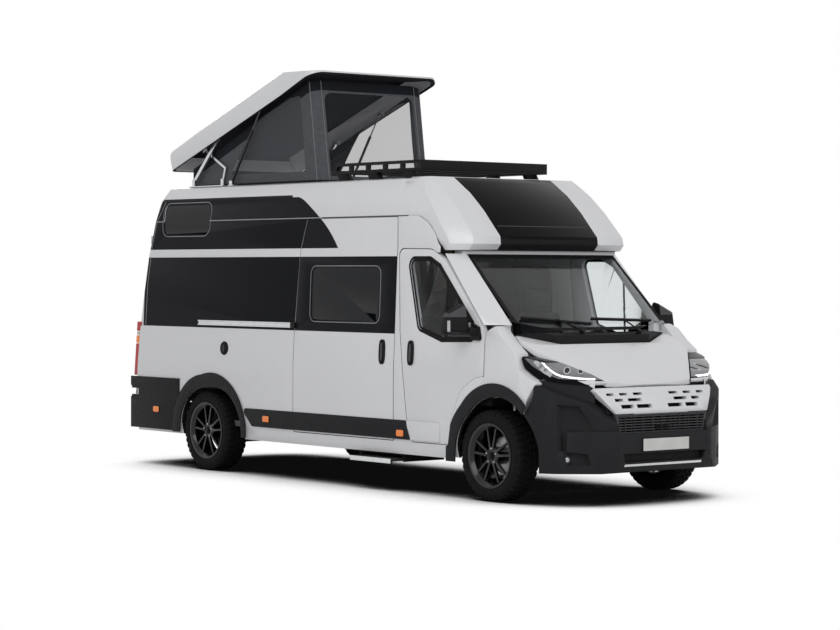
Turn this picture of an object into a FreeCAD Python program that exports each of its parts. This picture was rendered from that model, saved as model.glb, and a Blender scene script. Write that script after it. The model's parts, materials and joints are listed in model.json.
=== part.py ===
"""Camper van with a pop-up roof, as an assembly of separate pieces.

Frame: +X forward, +Y to the vehicle's left, +Z up.  The origin is on the ground
under the middle of the vehicle's box.  All lengths are millimetres.
"""
import FreeCAD, Part
import math
import os
import re
import Sketcher
from FreeCAD import Placement, Rotation, Vector

doc = FreeCAD.newDocument("CamperVan")

# ---------------------------------------------------------------------------
# Driving dimensions: alias, value in mm (angles in degrees), note
# ---------------------------------------------------------------------------
SIZES = [
    # wheels and axles
    ("front_axle_x", 2196.5, "front axle from the origin"),
    ("wheelbase", 4035.0, "front axle to rear axle"),
    ("half_track", 895.0, "wheel centre plane from the centre line"),
    ("tyre_radius", 368.5, "tyre outer radius"),
    ("tyre_width", 234.0, "tyre width over the sidewalls"),
    ("rim_radius", 262.0, "rim outer radius"),
    ("rim_offset", 84.0, "spoke face from the wheel centre plane"),
    ("rim_wall", 13.7, "rim barrel thickness"),
    ("hub_radius", 72.0, "rim hub radius"),
    ("spoke_spread", 52.0, "outer end of a spoke from the middle of its pair"),
    ("hub_face", 40.0, "brake disc face inside the wheel centre plane"),
    ("disc_radius", 150.0, "brake disc radius"),
    ("disc_thickness", 24.0, "brake disc thickness"),
    ("kingpin_inset", 113.0, "steering axis inside the wheel centre plane"),
    ("axle_radius", 38.0, "rear hub radius"),
    ("spring_y", 590.0, "middle of a leaf spring from the centre line"),
    # chassis
    ("rail_y", 455.0, "middle of a chassis rail from the centre line"),
    ("rail_width", 70.0, "chassis rail width"),
    ("rail_depth", 110.0, "chassis rail depth"),
    ("strut_top_z", 838.0, "top of a front strut"),
    ("engine_length", 360.0, "engine block along the vehicle"),
    ("engine_width", 700.0, "engine block across the vehicle"),
    ("engine_height", 460.0, "engine block height"),
    ("engine_base_z", 520.0, "underside of the engine block"),
    # body shell
    ("side_y", 1025.0, "side panel at the waist from the centre line"),
    ("skin", 46.0, "thickness of a whole door or wall"),
    ("shut_gap", 7.0, "gap round doors and panels"),
    ("cowl_inset", 159.0, "scuttle end inside the side panel"),
    ("sill_z", 318.0, "underside of the sill"),
    ("gutter_z", 2312.0, "seam between the side panel and the roof shell"),
    ("roof_z", 2640.0, "roof deck"),
    ("roof_skin", 42.0, "roof shell thickness"),
    ("floor_z", 480.0, "top of the floor"),
    ("floor_skin", 50.0, "floor thickness"),
    ("glass_skin", 5.0, "glass thickness"),
    ("seat_gap", 0.3, "clearance between pieces that seat on each other"),
    # entry step
    ("step_rear_x", 430.0, "rear end of the step"),
    ("step_length", 560.0, "step along the vehicle"),
    ("step_edge_y", 1062.0, "edge of the step from the centre line"),
    ("step_top_z", 276.0, "top of the step"),
    ("step_plate", 24.0, "step plate thickness"),
    # cab
    ("seat_y", 465.0, "middle of a cab seat from the centre line"),
    ("steer_radius", 190.0, "steering wheel ring radius"),
    ("steer_grip", 14.0, "steering wheel grip radius"),
    # pop-up roof
    ("lid_angle", 19.4, "open angle of the lid"),
    ("lid_length", 2440.0, "lid along its rim"),
    ("lid_half_width", 740.0, "lid rim from the centre line"),
    ("lid_rear_depth", 190.0, "lid depth at the rear"),
    ("lid_front_depth", 252.0, "lid depth before its front slope"),
    ("lid_skin", 22.0, "lid wall thickness"),
    ("arm_length", 537.0, "lift arm between its pins"),
    ("arm_angle", 45.0, "open angle of a lift arm"),
    ("arm_y", 690.0, "middle of a lift arm from the centre line"),
    ("arm_width", 34.0, "lift arm width"),
    ("arm_thickness", 18.0, "lift arm thickness"),
    ("arm_base_x", -2495.0, "lower pin of the lift arm"),
    ("arm_base_lift", 60.0, "lower pins above the roof deck"),
    ("crank_base_x", -2073.5, "lower pin of the crank"),
    ("crank_inset", 38.0, "middle of a crank inside the lift arm"),
    ("strut_base_x", -1873.5, "lower pin of the strut"),
    ("strut_base_lift", 35.0, "lower strut pin above the roof deck"),
    ("link_pin", 6.0, "pin radius of the links"),
    ("link_bore", 6.3, "bore radius of the links"),
    ("strut_tube_radius", 13.0, "strut tube radius"),
    ("tent_half_width", 640.0, "tent side wall from the centre line"),
    ("tent_skin", 6.0, "tent wall thickness"),
    # rack
    ("rack_half_width", 710.0, "rack rail from the centre line"),
    ("rack_rear_x", -290.0, "rear end of the rack"),
    ("rack_front_x", 960.0, "front end of the rack"),
    ("rack_tube", 30.0, "rack tube"),
    ("rack_lift", 58.0, "underside of the rack rail above the roof deck"),
    ("rack_rise", 92.0, "top of the rack rail above its underside"),
    # number plate seat
    ("plate_length", 520.0, "number plate seat length"),
    ("plate_height", 110.0, "number plate seat height"),
    ("plate_z", 480.0, "middle of the number plate seat"),
]

sheet = doc.addObject("Spreadsheet::Sheet", "Sizes")
for row, (alias, value, note) in enumerate(SIZES, start=2):
    sheet.set("A%d" % row, alias)
    sheet.set("B%d" % row, "%g" % value)
    sheet.set("C%d" % row, note)
    sheet.setAlias("B%d" % row, alias)
doc.recompute()


def size(alias):
    """Value of one driving dimension."""
    return float(sheet.get(alias))


# ---------------------------------------------------------------------------
# Parametric bodies: every size below is an expression of the sheet's cells
# ---------------------------------------------------------------------------
ALIASES = {alias for alias, _, _ in SIZES}
PARTS = []


def cells(text):
    """Expression in which each alias stands for its cell."""
    return re.sub(r"[a-z_]+", lambda word: ("Sizes." if word.group() in ALIASES else "") + word.group(),
                  str(text))


def bind(item, name, text):
    """Bind a property of an object to an expression."""
    item.setExpression(name, cells(text))


def new_body(label, x="0", y="0", z="0", turn=None):
    """Body of one sub-part, with its own origin at a place given by expressions."""
    made = doc.addObject("PartDesign::Body", label)
    made.Label = label
    if turn:
        made.Placement = Placement(Vector(0, 0, 0), turn)
    for axis, text in (("x", x), ("y", y), ("z", z)):
        bind(made, "Placement.Base." + axis, text)
    return made


def origin_of(made, role):
    """Plane or axis of a body's own origin."""
    return next(item for item in made.Origin.OriginFeatures if item.Role == role)


# role of each plane, and the direction of its normal along the remaining axis
PLANES = {"XY": ("XY_Plane", 1), "XZ": ("XZ_Plane", -1), "YZ": ("YZ_Plane", 1)}


def rect(u0, u1, v0, v1):
    """Corners of a rectangle."""
    return [(u0, v0), (u1, v0), (u1, v1), (u0, v1)]


def sketch(made, plane, outlines, depth):
    """Sketch at a depth; an outline is a list of corners (u, v), or one circle (u, v, radius)."""
    role, sign = PLANES[plane]
    drawn = made.newObject("Sketcher::SketchObject", "Outline")
    drawn.AttachmentSupport = [(origin_of(made, role), "")]
    drawn.MapMode = "FlatFace"
    bind(drawn, "AttachmentOffset.Base.z", "%d * (%s)" % (sign, depth))

    def fix(kind, *where):
        index = drawn.addConstraint(Sketcher.Constraint(kind, *where[:-1], 1.0))
        bind(drawn, "Constraints[%d]" % index, where[-1])

    for corners in outlines:
        first = len(drawn.Geometry)
        if isinstance(corners, tuple):
            u, v, radius = corners
            drawn.addGeometry(Part.Circle(Vector(first, 0, 0), Vector(0, 0, 1), 5), False)
            fix("DistanceX", -1, 1, first, 3, u)
            fix("DistanceY", -1, 1, first, 3, v)
            fix("Radius", first, radius)
            continue
        count = len(corners)
        marks = [Vector(math.cos(2 * math.pi * i / count), math.sin(2 * math.pi * i / count), 0)
                 for i in range(count)]
        for i in range(count):
            drawn.addGeometry(Part.LineSegment(marks[i], marks[(i + 1) % count]), False)
        for i, (u, v) in enumerate(corners):
            drawn.addConstraint(Sketcher.Constraint("Coincident", first + i, 2,
                                                    first + (i + 1) % count, 1))
            fix("DistanceX", -1, 1, first + i, 1, u)
            fix("DistanceY", -1, 1, first + i, 1, v)
    return drawn


def feature_of(made, kind, profile=None):
    """New feature at the tip of a body."""
    feature = made.newObject("PartDesign::" + kind, kind)
    if profile is not None:
        feature.Profile = profile
    made.Tip = feature
    return feature


def pad(made, plane, outlines, low, high):
    """Outlines on a named plane, padded between two depths across it."""
    start = low if PLANES[plane][1] > 0 else high
    feature = feature_of(made, "Pad", sketch(made, plane, outlines, start))
    bind(feature, "Length", "(%s) - (%s)" % (high, low))
    return feature


def pocket(made, plane, outlines, low, high):
    """Outlines cut out of a body between two depths."""
    start = high if PLANES[plane][1] > 0 else low
    feature = feature_of(made, "Pocket", sketch(made, plane, outlines, start))
    bind(feature, "Length", "(%s) - (%s)" % (high, low))
    return feature


def turned(made, plane, outlines, axis):
    """Outlines turned a full circle about the sketch's H_Axis or V_Axis."""
    profile = sketch(made, plane, outlines, "0")
    feature = feature_of(made, "Revolution", profile)
    feature.ReferenceAxis = (profile, [axis])
    feature.Angle = 360
    return feature


def mirror_in(made, features):
    """Features repeated on the other side of the body's XZ plane."""
    feature = feature_of(made, "Mirrored")
    feature.Originals = features
    feature.MirrorPlane = (origin_of(made, "XZ_Plane"), [""])
    return feature


def row_of(made, features, role, reach, count):
    """Features repeated in a row that spans reach along an axis."""
    feature = feature_of(made, "LinearPattern")
    feature.Originals = features
    feature.Direction = (origin_of(made, role), [""])
    bind(feature, "Length", reach)
    feature.Occurrences = count
    return feature


def ring_of(made, features, role, count):
    """Features repeated round an axis."""
    feature = feature_of(made, "PolarPattern")
    feature.Originals = features
    feature.Axis = (origin_of(made, role), [""])
    feature.Angle = 360
    feature.Occurrences = count
    return feature


def keep(made):
    """Count a finished object as a sub-part."""
    PARTS.append(made)
    return made


def keep_pair(label, made):
    """Sub-part of a body and its copy on the other side of the centre line."""
    other = doc.addObject("Part::Mirroring", label + "_other_side")
    other.Source = made
    other.Normal = Vector(0, 1, 0)
    both = doc.addObject("Part::Compound", label)
    both.Label = label
    both.Links = [made, other]
    return keep(both)


def span(side, low, high):
    """Depths across the vehicle on the left (1) or right (-1) side."""
    return (low, high) if side > 0 else ("-(%s)" % high, "-(%s)" % low)


# ---------------------------------------------------------------------------
# Shape helpers
# ---------------------------------------------------------------------------
AXES = {"XZ": (0, 2, 1), "YZ": (1, 2, 0), "XY": (0, 1, 2)}


def place(plane, u, v, w):
    """Point with in-plane coordinates u, v and depth w on a named plane."""
    xyz = [0.0, 0.0, 0.0]
    iu, iv, iw = AXES[plane]
    xyz[iu], xyz[iv], xyz[iw] = u, v, w
    return Vector(*xyz)


def outline(plane, points, depth):
    """Closed wire on a named plane from corners (u, v) or (u, v, radius)."""
    corners = [Vector(p[0], p[1], 0) for p in points]
    radii = [p[2] if len(p) > 2 else 0.0 for p in points]
    count = len(corners)
    starts, middles, ends = [], [], []
    for i, corner in enumerate(corners):
        if radii[i] <= 0:
            starts.append(corner)
            middles.append(None)
            ends.append(corner)
            continue
        back = (corners[i - 1] - corner).normalize()
        ahead = (corners[(i + 1) % count] - corner).normalize()
        half = back.getAngle(ahead) / 2
        reach = radii[i] / math.tan(half)
        inward = (back + ahead).normalize()
        starts.append(corner + back * reach)
        middles.append(corner + inward * (radii[i] / math.sin(half) - radii[i]))
        ends.append(corner + ahead * reach)

    def at(point):
        return place(plane, point.x, point.y, depth)

    edges = []
    for i in range(count):
        if middles[i] is not None:
            edges.append(Part.Arc(at(starts[i]), at(middles[i]), at(ends[i])).toShape())
        following = starts[(i + 1) % count]
        if (following - ends[i]).Length > 1e-6:
            edges.append(Part.LineSegment(at(ends[i]), at(following)).toShape())
    return Part.Wire(edges)


def slab(plane, points, low, high):
    """Outline extruded from depth low to depth high across a named plane."""
    face = Part.Face(outline(plane, points, low))
    return face.extrude(place(plane, 0, 0, high - low))


def lofted(plane, sections):
    """Ruled solid through outlines (points, depth) with equal corner counts."""
    return Part.makeLoft([outline(plane, points, depth) for points, depth in sections], True, True)


def box(x0, x1, y0, y1, z0, z1):
    """Box from its limits."""
    return Part.makeBox(x1 - x0, y1 - y0, z1 - z0, Vector(x0, y0, z0))


def rod(start, end, radius):
    """Round bar between two points."""
    along = end - start
    return Part.makeCylinder(radius, along.Length, start, along)


def fuse(shapes):
    """One shape from several that touch."""
    first = shapes[0]
    return first.fuse(shapes[1:]).removeSplitter() if len(shapes) > 1 else first


def together(shapes):
    """Separate solids kept in one sub-part."""
    return Part.makeCompound([s for shape in shapes for s in shape.Solids])


def mirrored(shape):
    """Copy on the other side of the centre line."""
    return shape.mirror(Vector(0, 0, 0), Vector(0, 1, 0))


def pair(shape):
    """A piece and its copy on the other side."""
    return together([shape, mirrored(shape)])


def sub_part(label, shape):
    """Add one named sub-part of the assembly to the document."""
    feature = doc.addObject("Part::Feature", label)
    feature.Label = label
    feature.Shape = shape
    return keep(feature)


# ---------------------------------------------------------------------------
# Places worked out from the driving dimensions
# ---------------------------------------------------------------------------
front_x = size("front_axle_x")
rear_x = front_x - size("wheelbase")
axle_z = size("tyre_radius")
gap = size("shut_gap")
skin = size("skin")
side_y = size("side_y")
roof_z = size("roof_z")
sill_z = size("sill_z")
gutter_z = size("gutter_z")
floor_z = size("floor_z")
glass = size("glass_skin")
seat_gap = size("seat_gap")
cowl_half = side_y - size("cowl_inset")
floor_low = floor_z - size("floor_skin")
# the same places as expressions of the sheet
REAR_AXLE = "(front_axle_x - wheelbase)"
FLOOR_LOW = "(floor_z - floor_skin)"
KINGPIN_Y = "(half_track - kingpin_inset)"
DISC_Y = "(half_track - hub_face)"
DECK = "(roof_z + seat_gap)"

# cross-section of the body: (y, z) up one side, then the roof
SECTION = [(side_y - 40, sill_z), (side_y - 8, 440), (side_y, 620), (side_y, 1000),
           (side_y - 15, 1330), (side_y - 40, 1970), (side_y - 70, 2310),
           (side_y - 108, 2500), (side_y - 190, roof_z - 18), (side_y - 330, roof_z)]
# rear end in side view: (x, z) up the middle of the rear doors
REAR = [(-3092, 320), (-3092, 900), (-3056, 1250), (-2996, 1600), (-2915, 1990),
        (-2815, 2330), (-2735, 2570)]


def section_solid(inset, x0, x1):
    """Body cross-section, moved in by inset, from x0 to x1."""
    right = [(-(y - inset), max(z, sill_z) if z < roof_z else z - inset) for y, z in SECTION]
    left = [(-y, z) for y, z in reversed(right)]
    return slab("YZ", right + left, x0, x1)


def rear_solid(inset, forward=4200):
    """Everything ahead of the rear doors' outer face, with rounded corners, moved in by inset."""
    edge = side_y + 200
    side = side_y + 2 - inset
    stations = [(REAR[0][0], -200)] + REAR + [(REAR[-1][0] + 70, roof_z + 100)]
    sections = []
    for x, z in stations:
        x += inset
        half = [(x, 600), (x + 34, 930 - inset * 0.3), (x + 110, side), (x + 400, edge), (forward, edge)]
        sections.append((half + [(u, -v) for u, v in reversed(half)], z))
    return lofted("XY", sections)


shell_outer = section_solid(0, -3400, 3400).common(rear_solid(0))
shell_inner = section_solid(skin, -3400, 3400).common(rear_solid(skin))
shell = shell_outer.cut(shell_inner)


def arch_hull(axle, rear_radius, front_shift, front_radius, front_rise, y0, y1):
    """Wheel opening: two circles, the second ahead of the first, and what is between."""
    first = Part.makeCylinder(rear_radius, y1 - y0, Vector(axle, y0, axle_z), Vector(0, 1, 0))
    second = Part.makeCylinder(front_radius, y1 - y0,
                               Vector(axle + front_shift, y0, axle_z + front_rise), Vector(0, 1, 0))
    fill = slab("XZ", [(axle - rear_radius, -50), (axle + front_shift + front_radius, -50),
                       (axle + front_shift + front_radius, axle_z + front_rise),
                       (axle - rear_radius, axle_z)], y0, y1)
    if front_shift < 1:
        return first.fuse([second, fill])
    bridge = slab("XZ", [(axle, axle_z), (axle, axle_z + rear_radius),
                         (axle + front_shift, axle_z + front_rise + front_radius),
                         (axle + front_shift, axle_z)], y0, y1)
    return first.fuse([second, fill, bridge])


front_opening = arch_hull(front_x, 398, 105, 450, 28, -1300, 1300)
rear_opening = arch_hull(rear_x, 396, 190, 415, -10, -1300, 1300)

# ---------------------------------------------------------------------------
# Door and window outlines in side view: (x, z, corner radius)
# ---------------------------------------------------------------------------
DOOR = [(1226, 432, 20), (1168, 560, 60), (1112, 960, 200), (1052, 1340, 200), (1009, 2032, 55),
        (1440, 2026, 160), (1585, 1950, 60), (2100, 1408, 10), (2136, 1330, 10), (2136, 1004, 10),
        (2020, 985, 60), (1850, 880, 120), (1745, 660, 100), (1706, 432, 20)]
DOOR_GLASS = [(1300, 1372, 60), (1142, 1950, 60), (1420, 1950, 90), (1545, 1890, 40),
              (1985, 1430, 20), (1985, 1295, 20), (1600, 1285, 40)]
SLIDING_DOOR = [(-445, 432, 20), (-445, 1330, 30), (-390, 2044, 30), (-325, 2300, 10),
                (948, 2300, 10), (975, 2040, 10), (975, 432, 20)]
SLIDING_GLASS = [(-216, 1415, 60), (-216, 1880, 60), (756, 1880, 60), (756, 1415, 60)]
LEFT_GLASS = [(-216, 1415, 60), (-216, 1880, 60), (756, 1880, 60), (756, 1415, 60)]
REAR_SIDE_GLASS = [(-2610, 2185, 50), (-2640, 2465, 50), (-1862, 2465, 50), (-1862, 2185, 50)]


def grown(points, by):
    """Outline moved outwards by a few millimetres about its own middle."""
    u = sum(p[0] for p in points) / len(points)
    v = sum(p[1] for p in points) / len(points)
    half_u = max(abs(p[0] - u) for p in points)
    half_v = max(abs(p[1] - v) for p in points)
    return [(u + (p[0] - u) * (1 + by / half_u), v + (p[1] - v) * (1 + by / half_v)) + tuple(p[2:])
            for p in points]


def side_band(points, y0=600, y1=1300):
    """Prism through the right side panel."""
    return slab("XZ", points, -y1, -y0)


def pane(points, inset=6.0):
    """Glass that follows the side panel, set in from its face."""
    skin_band = section_solid(inset, -3400, 3400).cut(section_solid(inset + glass, -3400, 3400))
    return skin_band.common(side_band(grown(points, -seat_gap)))


# --- body side walls ---------------------------------------------------------
# seam between the side panel and the roof shell, from the rear to the cab door
SEAM = [(-3400, gutter_z), (1090, gutter_z, 200), (1235, 2305, 100), (1360, 2250, 200),
        (1458, 2164, 200), (1505, 2085, 100), (1542, 2046)]
wall_zone = [(-3400, sill_z - 5)] + SEAM + [(1542, 2000), (1100, 1990), (1150, 1000), (1690, 520),
                                            (1690, sill_z - 5)]
right_zone = slab("XZ", wall_zone, -1400, -880)
door_hole = side_band(grown(DOOR, gap))
sliding_hole = side_band(grown(SLIDING_DOOR, gap))
rear_glass_hole = side_band(REAR_SIDE_GLASS)

wall = shell.common(right_zone).cut([door_hole, rear_glass_hole, front_opening, rear_opening])
rear_frame = slab("XZ", [(-3400, 560), (-3400, 2300), (-2700, 2300), (-2985, 560)], -925, 925)
wall = wall.cut(rear_frame)
right_wall = wall.cut(sliding_hole)
left_wall = mirrored(wall.cut(side_band(LEFT_GLASS)))

# --- sliding door (fixed) and fixed glass -------------------------------------
door_skin = shell_outer.cut(shell_inner)
seal_lap = 20.0
seal_ring = side_band(grown(SLIDING_DOOR, seal_lap)).cut(side_band(grown(SLIDING_DOOR, -seal_lap))).common(
    box(-600, 1100, -1300, -600, floor_z + 8, 2295))
seal = section_solid(skin + seat_gap, -3400, 3400).cut(section_solid(skin + 6, -3400, 3400)).common(seal_ring)
seal_root = section_solid(skin - 2, -3400, 3400).cut(section_solid(skin + 3, -3400, 3400)).common(
    seal_ring).common(side_band(SLIDING_DOOR))
sub_part("sliding_door", fuse([door_skin.common(side_band(SLIDING_DOOR)).cut(side_band(SLIDING_GLASS)),
                               seal_root, seal]))
upper_pane = pane(REAR_SIDE_GLASS)
sub_part("side_windows", together([pane(SLIDING_GLASS), upper_pane, mirrored(upper_pane),
                                   mirrored(pane(LEFT_GLASS))]))


# hinge line of a cab door: at this height it is this far out, and it leans in with the side panel
DOOR_HINGE_X, DOOR_HINGE_Y, DOOR_HINGE_Z, DOOR_HINGE_LEAN = 2129.0, 1016.0, 1000.0, 0.045
HINGE_HEIGHTS = (1030.0, 1260.0)
PIN_R, BORE_R = 3.5, 3.8
hinge_pins, hinge_bores, hinge_clear = [], [], []
for z in HINGE_HEIGHTS:
    y = -DOOR_HINGE_Y + (z - DOOR_HINGE_Z) * DOOR_HINGE_LEAN
    foot = Vector(DOOR_HINGE_X, y, z)
    tip = foot + Vector(0, 40 * DOOR_HINGE_LEAN, 40)
    hinge_pins.append(box(DOOR_HINGE_X - 4, DOOR_HINGE_X + 2, y - 3.5, -985, z - 10, z))
    hinge_pins.append(box(DOOR_HINGE_X - 4, 2146, -990, 6 - cowl_half, z - 10, z))
    hinge_pins.append(box(2138, 2160, -cowl_half - 2, 16 - cowl_half, z - 10, z))
    hinge_pins.append(rod(foot - Vector(0, 0, 2), tip, PIN_R))
    hinge_clear.append(box(2100, 2170, -980, 26 - cowl_half, z - 16, z + 6))
    hinge_clear.append(mirrored(hinge_clear[-1]))
    hinge_bores.append(box(DOOR_HINGE_X - 9, 2160, y - 5, 6 - cowl_half, z - 16, z + 6))
    hinge_bores.append(rod(foot - Vector(0, 0, 2), tip + Vector(0, 0, 5), BORE_R))


# protective strip along the side: its outline, and its faces from the centre line
STRIP = [(-1070, 445, 30), (-1240, 605, 30), (1600, 605, 12), (1592, 445, 12)]
STRIP_OUT, STRIP_IN = side_y + 8, side_y + seat_gap


def cab_door(side):
    """Cab door panel with its window hole and its length of strip; side is "left" or "right"."""
    strip_end = slab("XZ", STRIP, -STRIP_OUT, 12 - side_y).common(side_band(grown(DOOR, -4)))
    panel = door_skin.common(side_band(DOOR)).fuse(strip_end).cut(
        [side_band(DOOR_GLASS), front_opening] + hinge_bores)
    window = pane(DOOR_GLASS)
    mirror_foot = slab("XZ", [(1990, 1290, 10), (2110, 1290, 20), (2080, 1400, 10), (1960, 1440, 10)],
                       -1032, -1000)
    arm = lofted("XZ", [([(2070, 1335), (2070, 1385), (1960, 1400), (1960, 1330)], -1030),
                        ([(2040, 1350), (2040, 1390), (1950, 1400), (1950, 1340)], -1085)])
    head = lofted("XZ", [([(2020, 1345, 20), (1990, 1570, 30), (1900, 1590, 30), (1890, 1345, 20)], -1085),
                         ([(2010, 1360, 20), (1985, 1500, 30), (1905, 1520, 30), (1900, 1360, 20)], -1246)])
    mirror = fuse([mirror_foot, arm, head]).cut(section_solid(-seat_gap, 1800, 2200))
    shapes = [panel, window, mirror]
    if side == "left":
        shapes = [mirrored(shape) for shape in shapes]
    sub_part("door_" + side, shapes[0])
    sub_part("door_glass_" + side, shapes[1])
    sub_part("mirror_" + side, shapes[2])


cab_door("right")
cab_door("left")

# --- rear doors ---------------------------------------------------------------
rear_strip = rear_solid(0).cut(rear_solid(skin))
REAR_GLASS = [(130, 1330, 60), (130, 1900, 60), (770, 1900, 60), (790, 1330, 60)]


# hinge line of a rear door: a point on it and how far it leans forward with height
REAR_HINGE_X, REAR_HINGE_Y, REAR_HINGE_Z = -3026.0, 1000.0, 700.0
REAR_HINGE_LEAN, REAR_HINGE_TILT = 0.128, -0.035
REAR_HINGE_HEIGHTS = (690.0, 2140.0)


def rear_hinge_point(z):
    """Point of the rear door hinge line at a height, left side."""
    up = z - REAR_HINGE_Z
    return Vector(REAR_HINGE_X + up * REAR_HINGE_LEAN, REAR_HINGE_Y + up * REAR_HINGE_TILT, z)


rear_lean = Vector(REAR_HINGE_LEAN, REAR_HINGE_TILT, 1).normalize()
rear_leaves, rear_brackets = [], []
# the edge of the door is cut back round the hinge line so that it clears the corner as it swings
SWING = [(540.0, 90.0), (1050.0, 96.0), (2000.0, 56.0)]
rear_swing = []
for (z0, r0), (z1, r1) in zip(SWING, SWING[1:]):
    low, high = rear_hinge_point(z0), rear_hinge_point(z1)
    rear_swing.append(Part.makeCone(r0, r1, (high - low).Length, low, high - low))
for z in REAR_HINGE_HEIGHTS:
    middle = rear_hinge_point(z)
    leaf = slab("XY", [(middle.x + u, middle.y + v) for u, v in (
        (-5, 7), (6, 5), (-38, -72), (-34, -95), (-12, -140), (-12, -160), (-62, -160), (-66, -100),
        (-54, -70))], z - 18, z + 18)
    barrel = rod(middle - rear_lean * 24, middle + rear_lean * 24, 9)
    bore = rod(middle - rear_lean * 60, middle + rear_lean * 60, 4.3)
    rear_leaves.append(leaf.fuse(barrel).cut([bore, rear_solid(skin * 0.5)]))
    for end in (-1, 1):
        low = middle + rear_lean * (end * 26)
        high = middle + rear_lean * (end * 38)
        rear_brackets.append(rod(middle + rear_lean * (end * 12), high, 4))
        rear_brackets.append(box(middle.x - 7, middle.x + 60, middle.y - 10, middle.y + 10,
                                 min(low.z, high.z), max(low.z, high.z)))


def rear_door(side):
    """Rear door with its window; side is "left" or "right"."""
    zone = slab("YZ", [(4, 570), (4, 2292), (870, 2292), (905, 1990), (916, 1000), (916, 570)],
                -3400, -2600)
    hole = slab("YZ", REAR_GLASS, -3400, -2600)
    panel = rear_strip.common(zone).cut(hole)
    panel = max(panel.cut(rear_swing).Solids, key=lambda solid: solid.Volume)
    panel = fuse([panel] + rear_leaves)
    inner = rear_solid(8).cut(rear_solid(8 + glass)).common(slab("YZ", grown(REAR_GLASS, -seat_gap),
                                                                 -3400, -2600))
    if side == "right":
        panel, inner = mirrored(panel), mirrored(inner)
    sub_part("rear_door_" + side, panel)
    sub_part("rear_glass_" + side, inner)


rear_door("right")
rear_door("left")
sub_part("side_wall_right", fuse([right_wall] + [mirrored(p) for p in rear_brackets]))
sub_part("side_wall_left", fuse([left_wall] + rear_brackets))

# --- roof shell with the nose over the cab ------------------------------------
# nose: height, front x, half width of the front face, half width of the side
NOSE = [(2020, 1745, 850, 948), (2070, 1795, 846, 962), (2135, 1786, 838, 968),
        (2348, 1582, 825, 946), (2496, 1409, 815, 917), (2600, 1246, 810, 860), (roof_z, 1180, 800, 802)]


def nose_solid(inset):
    """Nose of the roof, moved in by inset."""
    sections = []
    for z, x, front_y, side in NOSE:
        fy, sy, fx = front_y - inset * 0.8, side - inset, x - inset
        chamfer = (side - front_y) * 1.35
        back = 950
        sections.append(([(back, -sy), (fx - chamfer, -sy), (fx, -fy), (fx, fy), (fx - chamfer, sy),
                          (back, sy)], min(max(z, 2020 + inset), roof_z - inset)))
    if inset:
        sections = [s for i, s in enumerate(sections) if i == 0 or s[1] > sections[i - 1][1] + 1]
    return lofted("XY", sections)


above_seam = [(p[0], p[1] + seat_gap) + tuple(p[2:]) for p in SEAM[:-1]] + [
    (1545, 2048), (1560, 2019), (2000, 2019), (2000, 3000), (-3400, 3000)]
roof_zone = slab("XZ", above_seam, -1400, 1400)
roof_skin = size("roof_skin")
roof_outer = shell_outer.common(box(-3400, 1100, -1400, 1400, 2200, 2700)).fuse(nose_solid(0))
roof_inner = section_solid(roof_skin, -3400, 1140).common(rear_solid(roof_skin)).fuse(
    nose_solid(roof_skin))
tent_half = size("tent_half_width")
TENT_REAR, TENT_FRONT = -2620, -560
hatch = box(TENT_REAR + 110, TENT_FRONT - 110, -tent_half + 90, tent_half - 90, 2500, 2700)
PANEL_HALF = 545
PANEL_DEPTH = 6
panel_zone = box(1184, 1900, -PANEL_HALF, PANEL_HALF, 2026, 2660)
recess = nose_solid(-2).cut(nose_solid(PANEL_DEPTH)).common(panel_zone)
roof = roof_outer.common(roof_zone).cut([roof_inner, hatch, recess, rear_glass_hole,
                                         mirrored(rear_glass_hole)])
sub_part("roof_shell", roof)

# gloss panel let into the nose
panel_edge = box(1184 + seat_gap, 1900, seat_gap - PANEL_HALF, PANEL_HALF - seat_gap, 2026 + seat_gap, 2660)
sub_part("nose_panel", nose_solid(0).cut(nose_solid(PANEL_DEPTH - seat_gap)).common(panel_edge))


# --- windscreen, cab frame and scuttle ----------------------------------------
SCREEN_TOP = (1680, 1996)
SCREEN_FOOT = (2420, 1350)


def screen_solid(inset, thick):
    """Bowed windscreen sheet between its top and foot lines."""
    sections = []
    for (x, z), bow in ((SCREEN_FOOT, 41.0), (SCREEN_TOP, 5.0)):
        half = 845.0
        front = [(x - inset - bow * (y / half) ** 2, y) for y in (-half, -430, 0, 430, half)]
        back = [(u - thick, v) for u, v in reversed(front)]
        sections.append((front + back, z))
    return lofted("XY", sections)


screen_window = slab("YZ", [(-836, 1440), (-816, 1986), (816, 1986), (836, 1440), (430, 1366),
                            (-430, 1366)], 1500, 2600)
sub_part("windscreen", screen_solid(0, 9).common(screen_window))

pillar = lofted("XY", [
    ([(1689, 824), (1576, 958), (1566, 928), (1620, 812)], 1990),
    ([(2290, 852), (2118, 1000), (2112, 950), (2215, 840)], 1415)])
header = box(1572, 1684, -850, 850, 1986.3, 2016)
scuttle_beam = box(2152, 2270, -cowl_half, cowl_half, 1180, 1300)
firewall = box(2215, 2245, -cowl_half, cowl_half, 520, 1180)
post = box(2152, 2215, cowl_half - 66, cowl_half, 520, 1415)
tower_z = size("strut_top_z")
kingpin_y = size("half_track") - size("kingpin_inset")
tower = box(front_x - 80, front_x + 80, kingpin_y - 92, cowl_half, tower_z, tower_z + 40)
wheelhouse = arch_hull(front_x, 470, 60, 470, 0, -1300, 1300)
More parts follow.
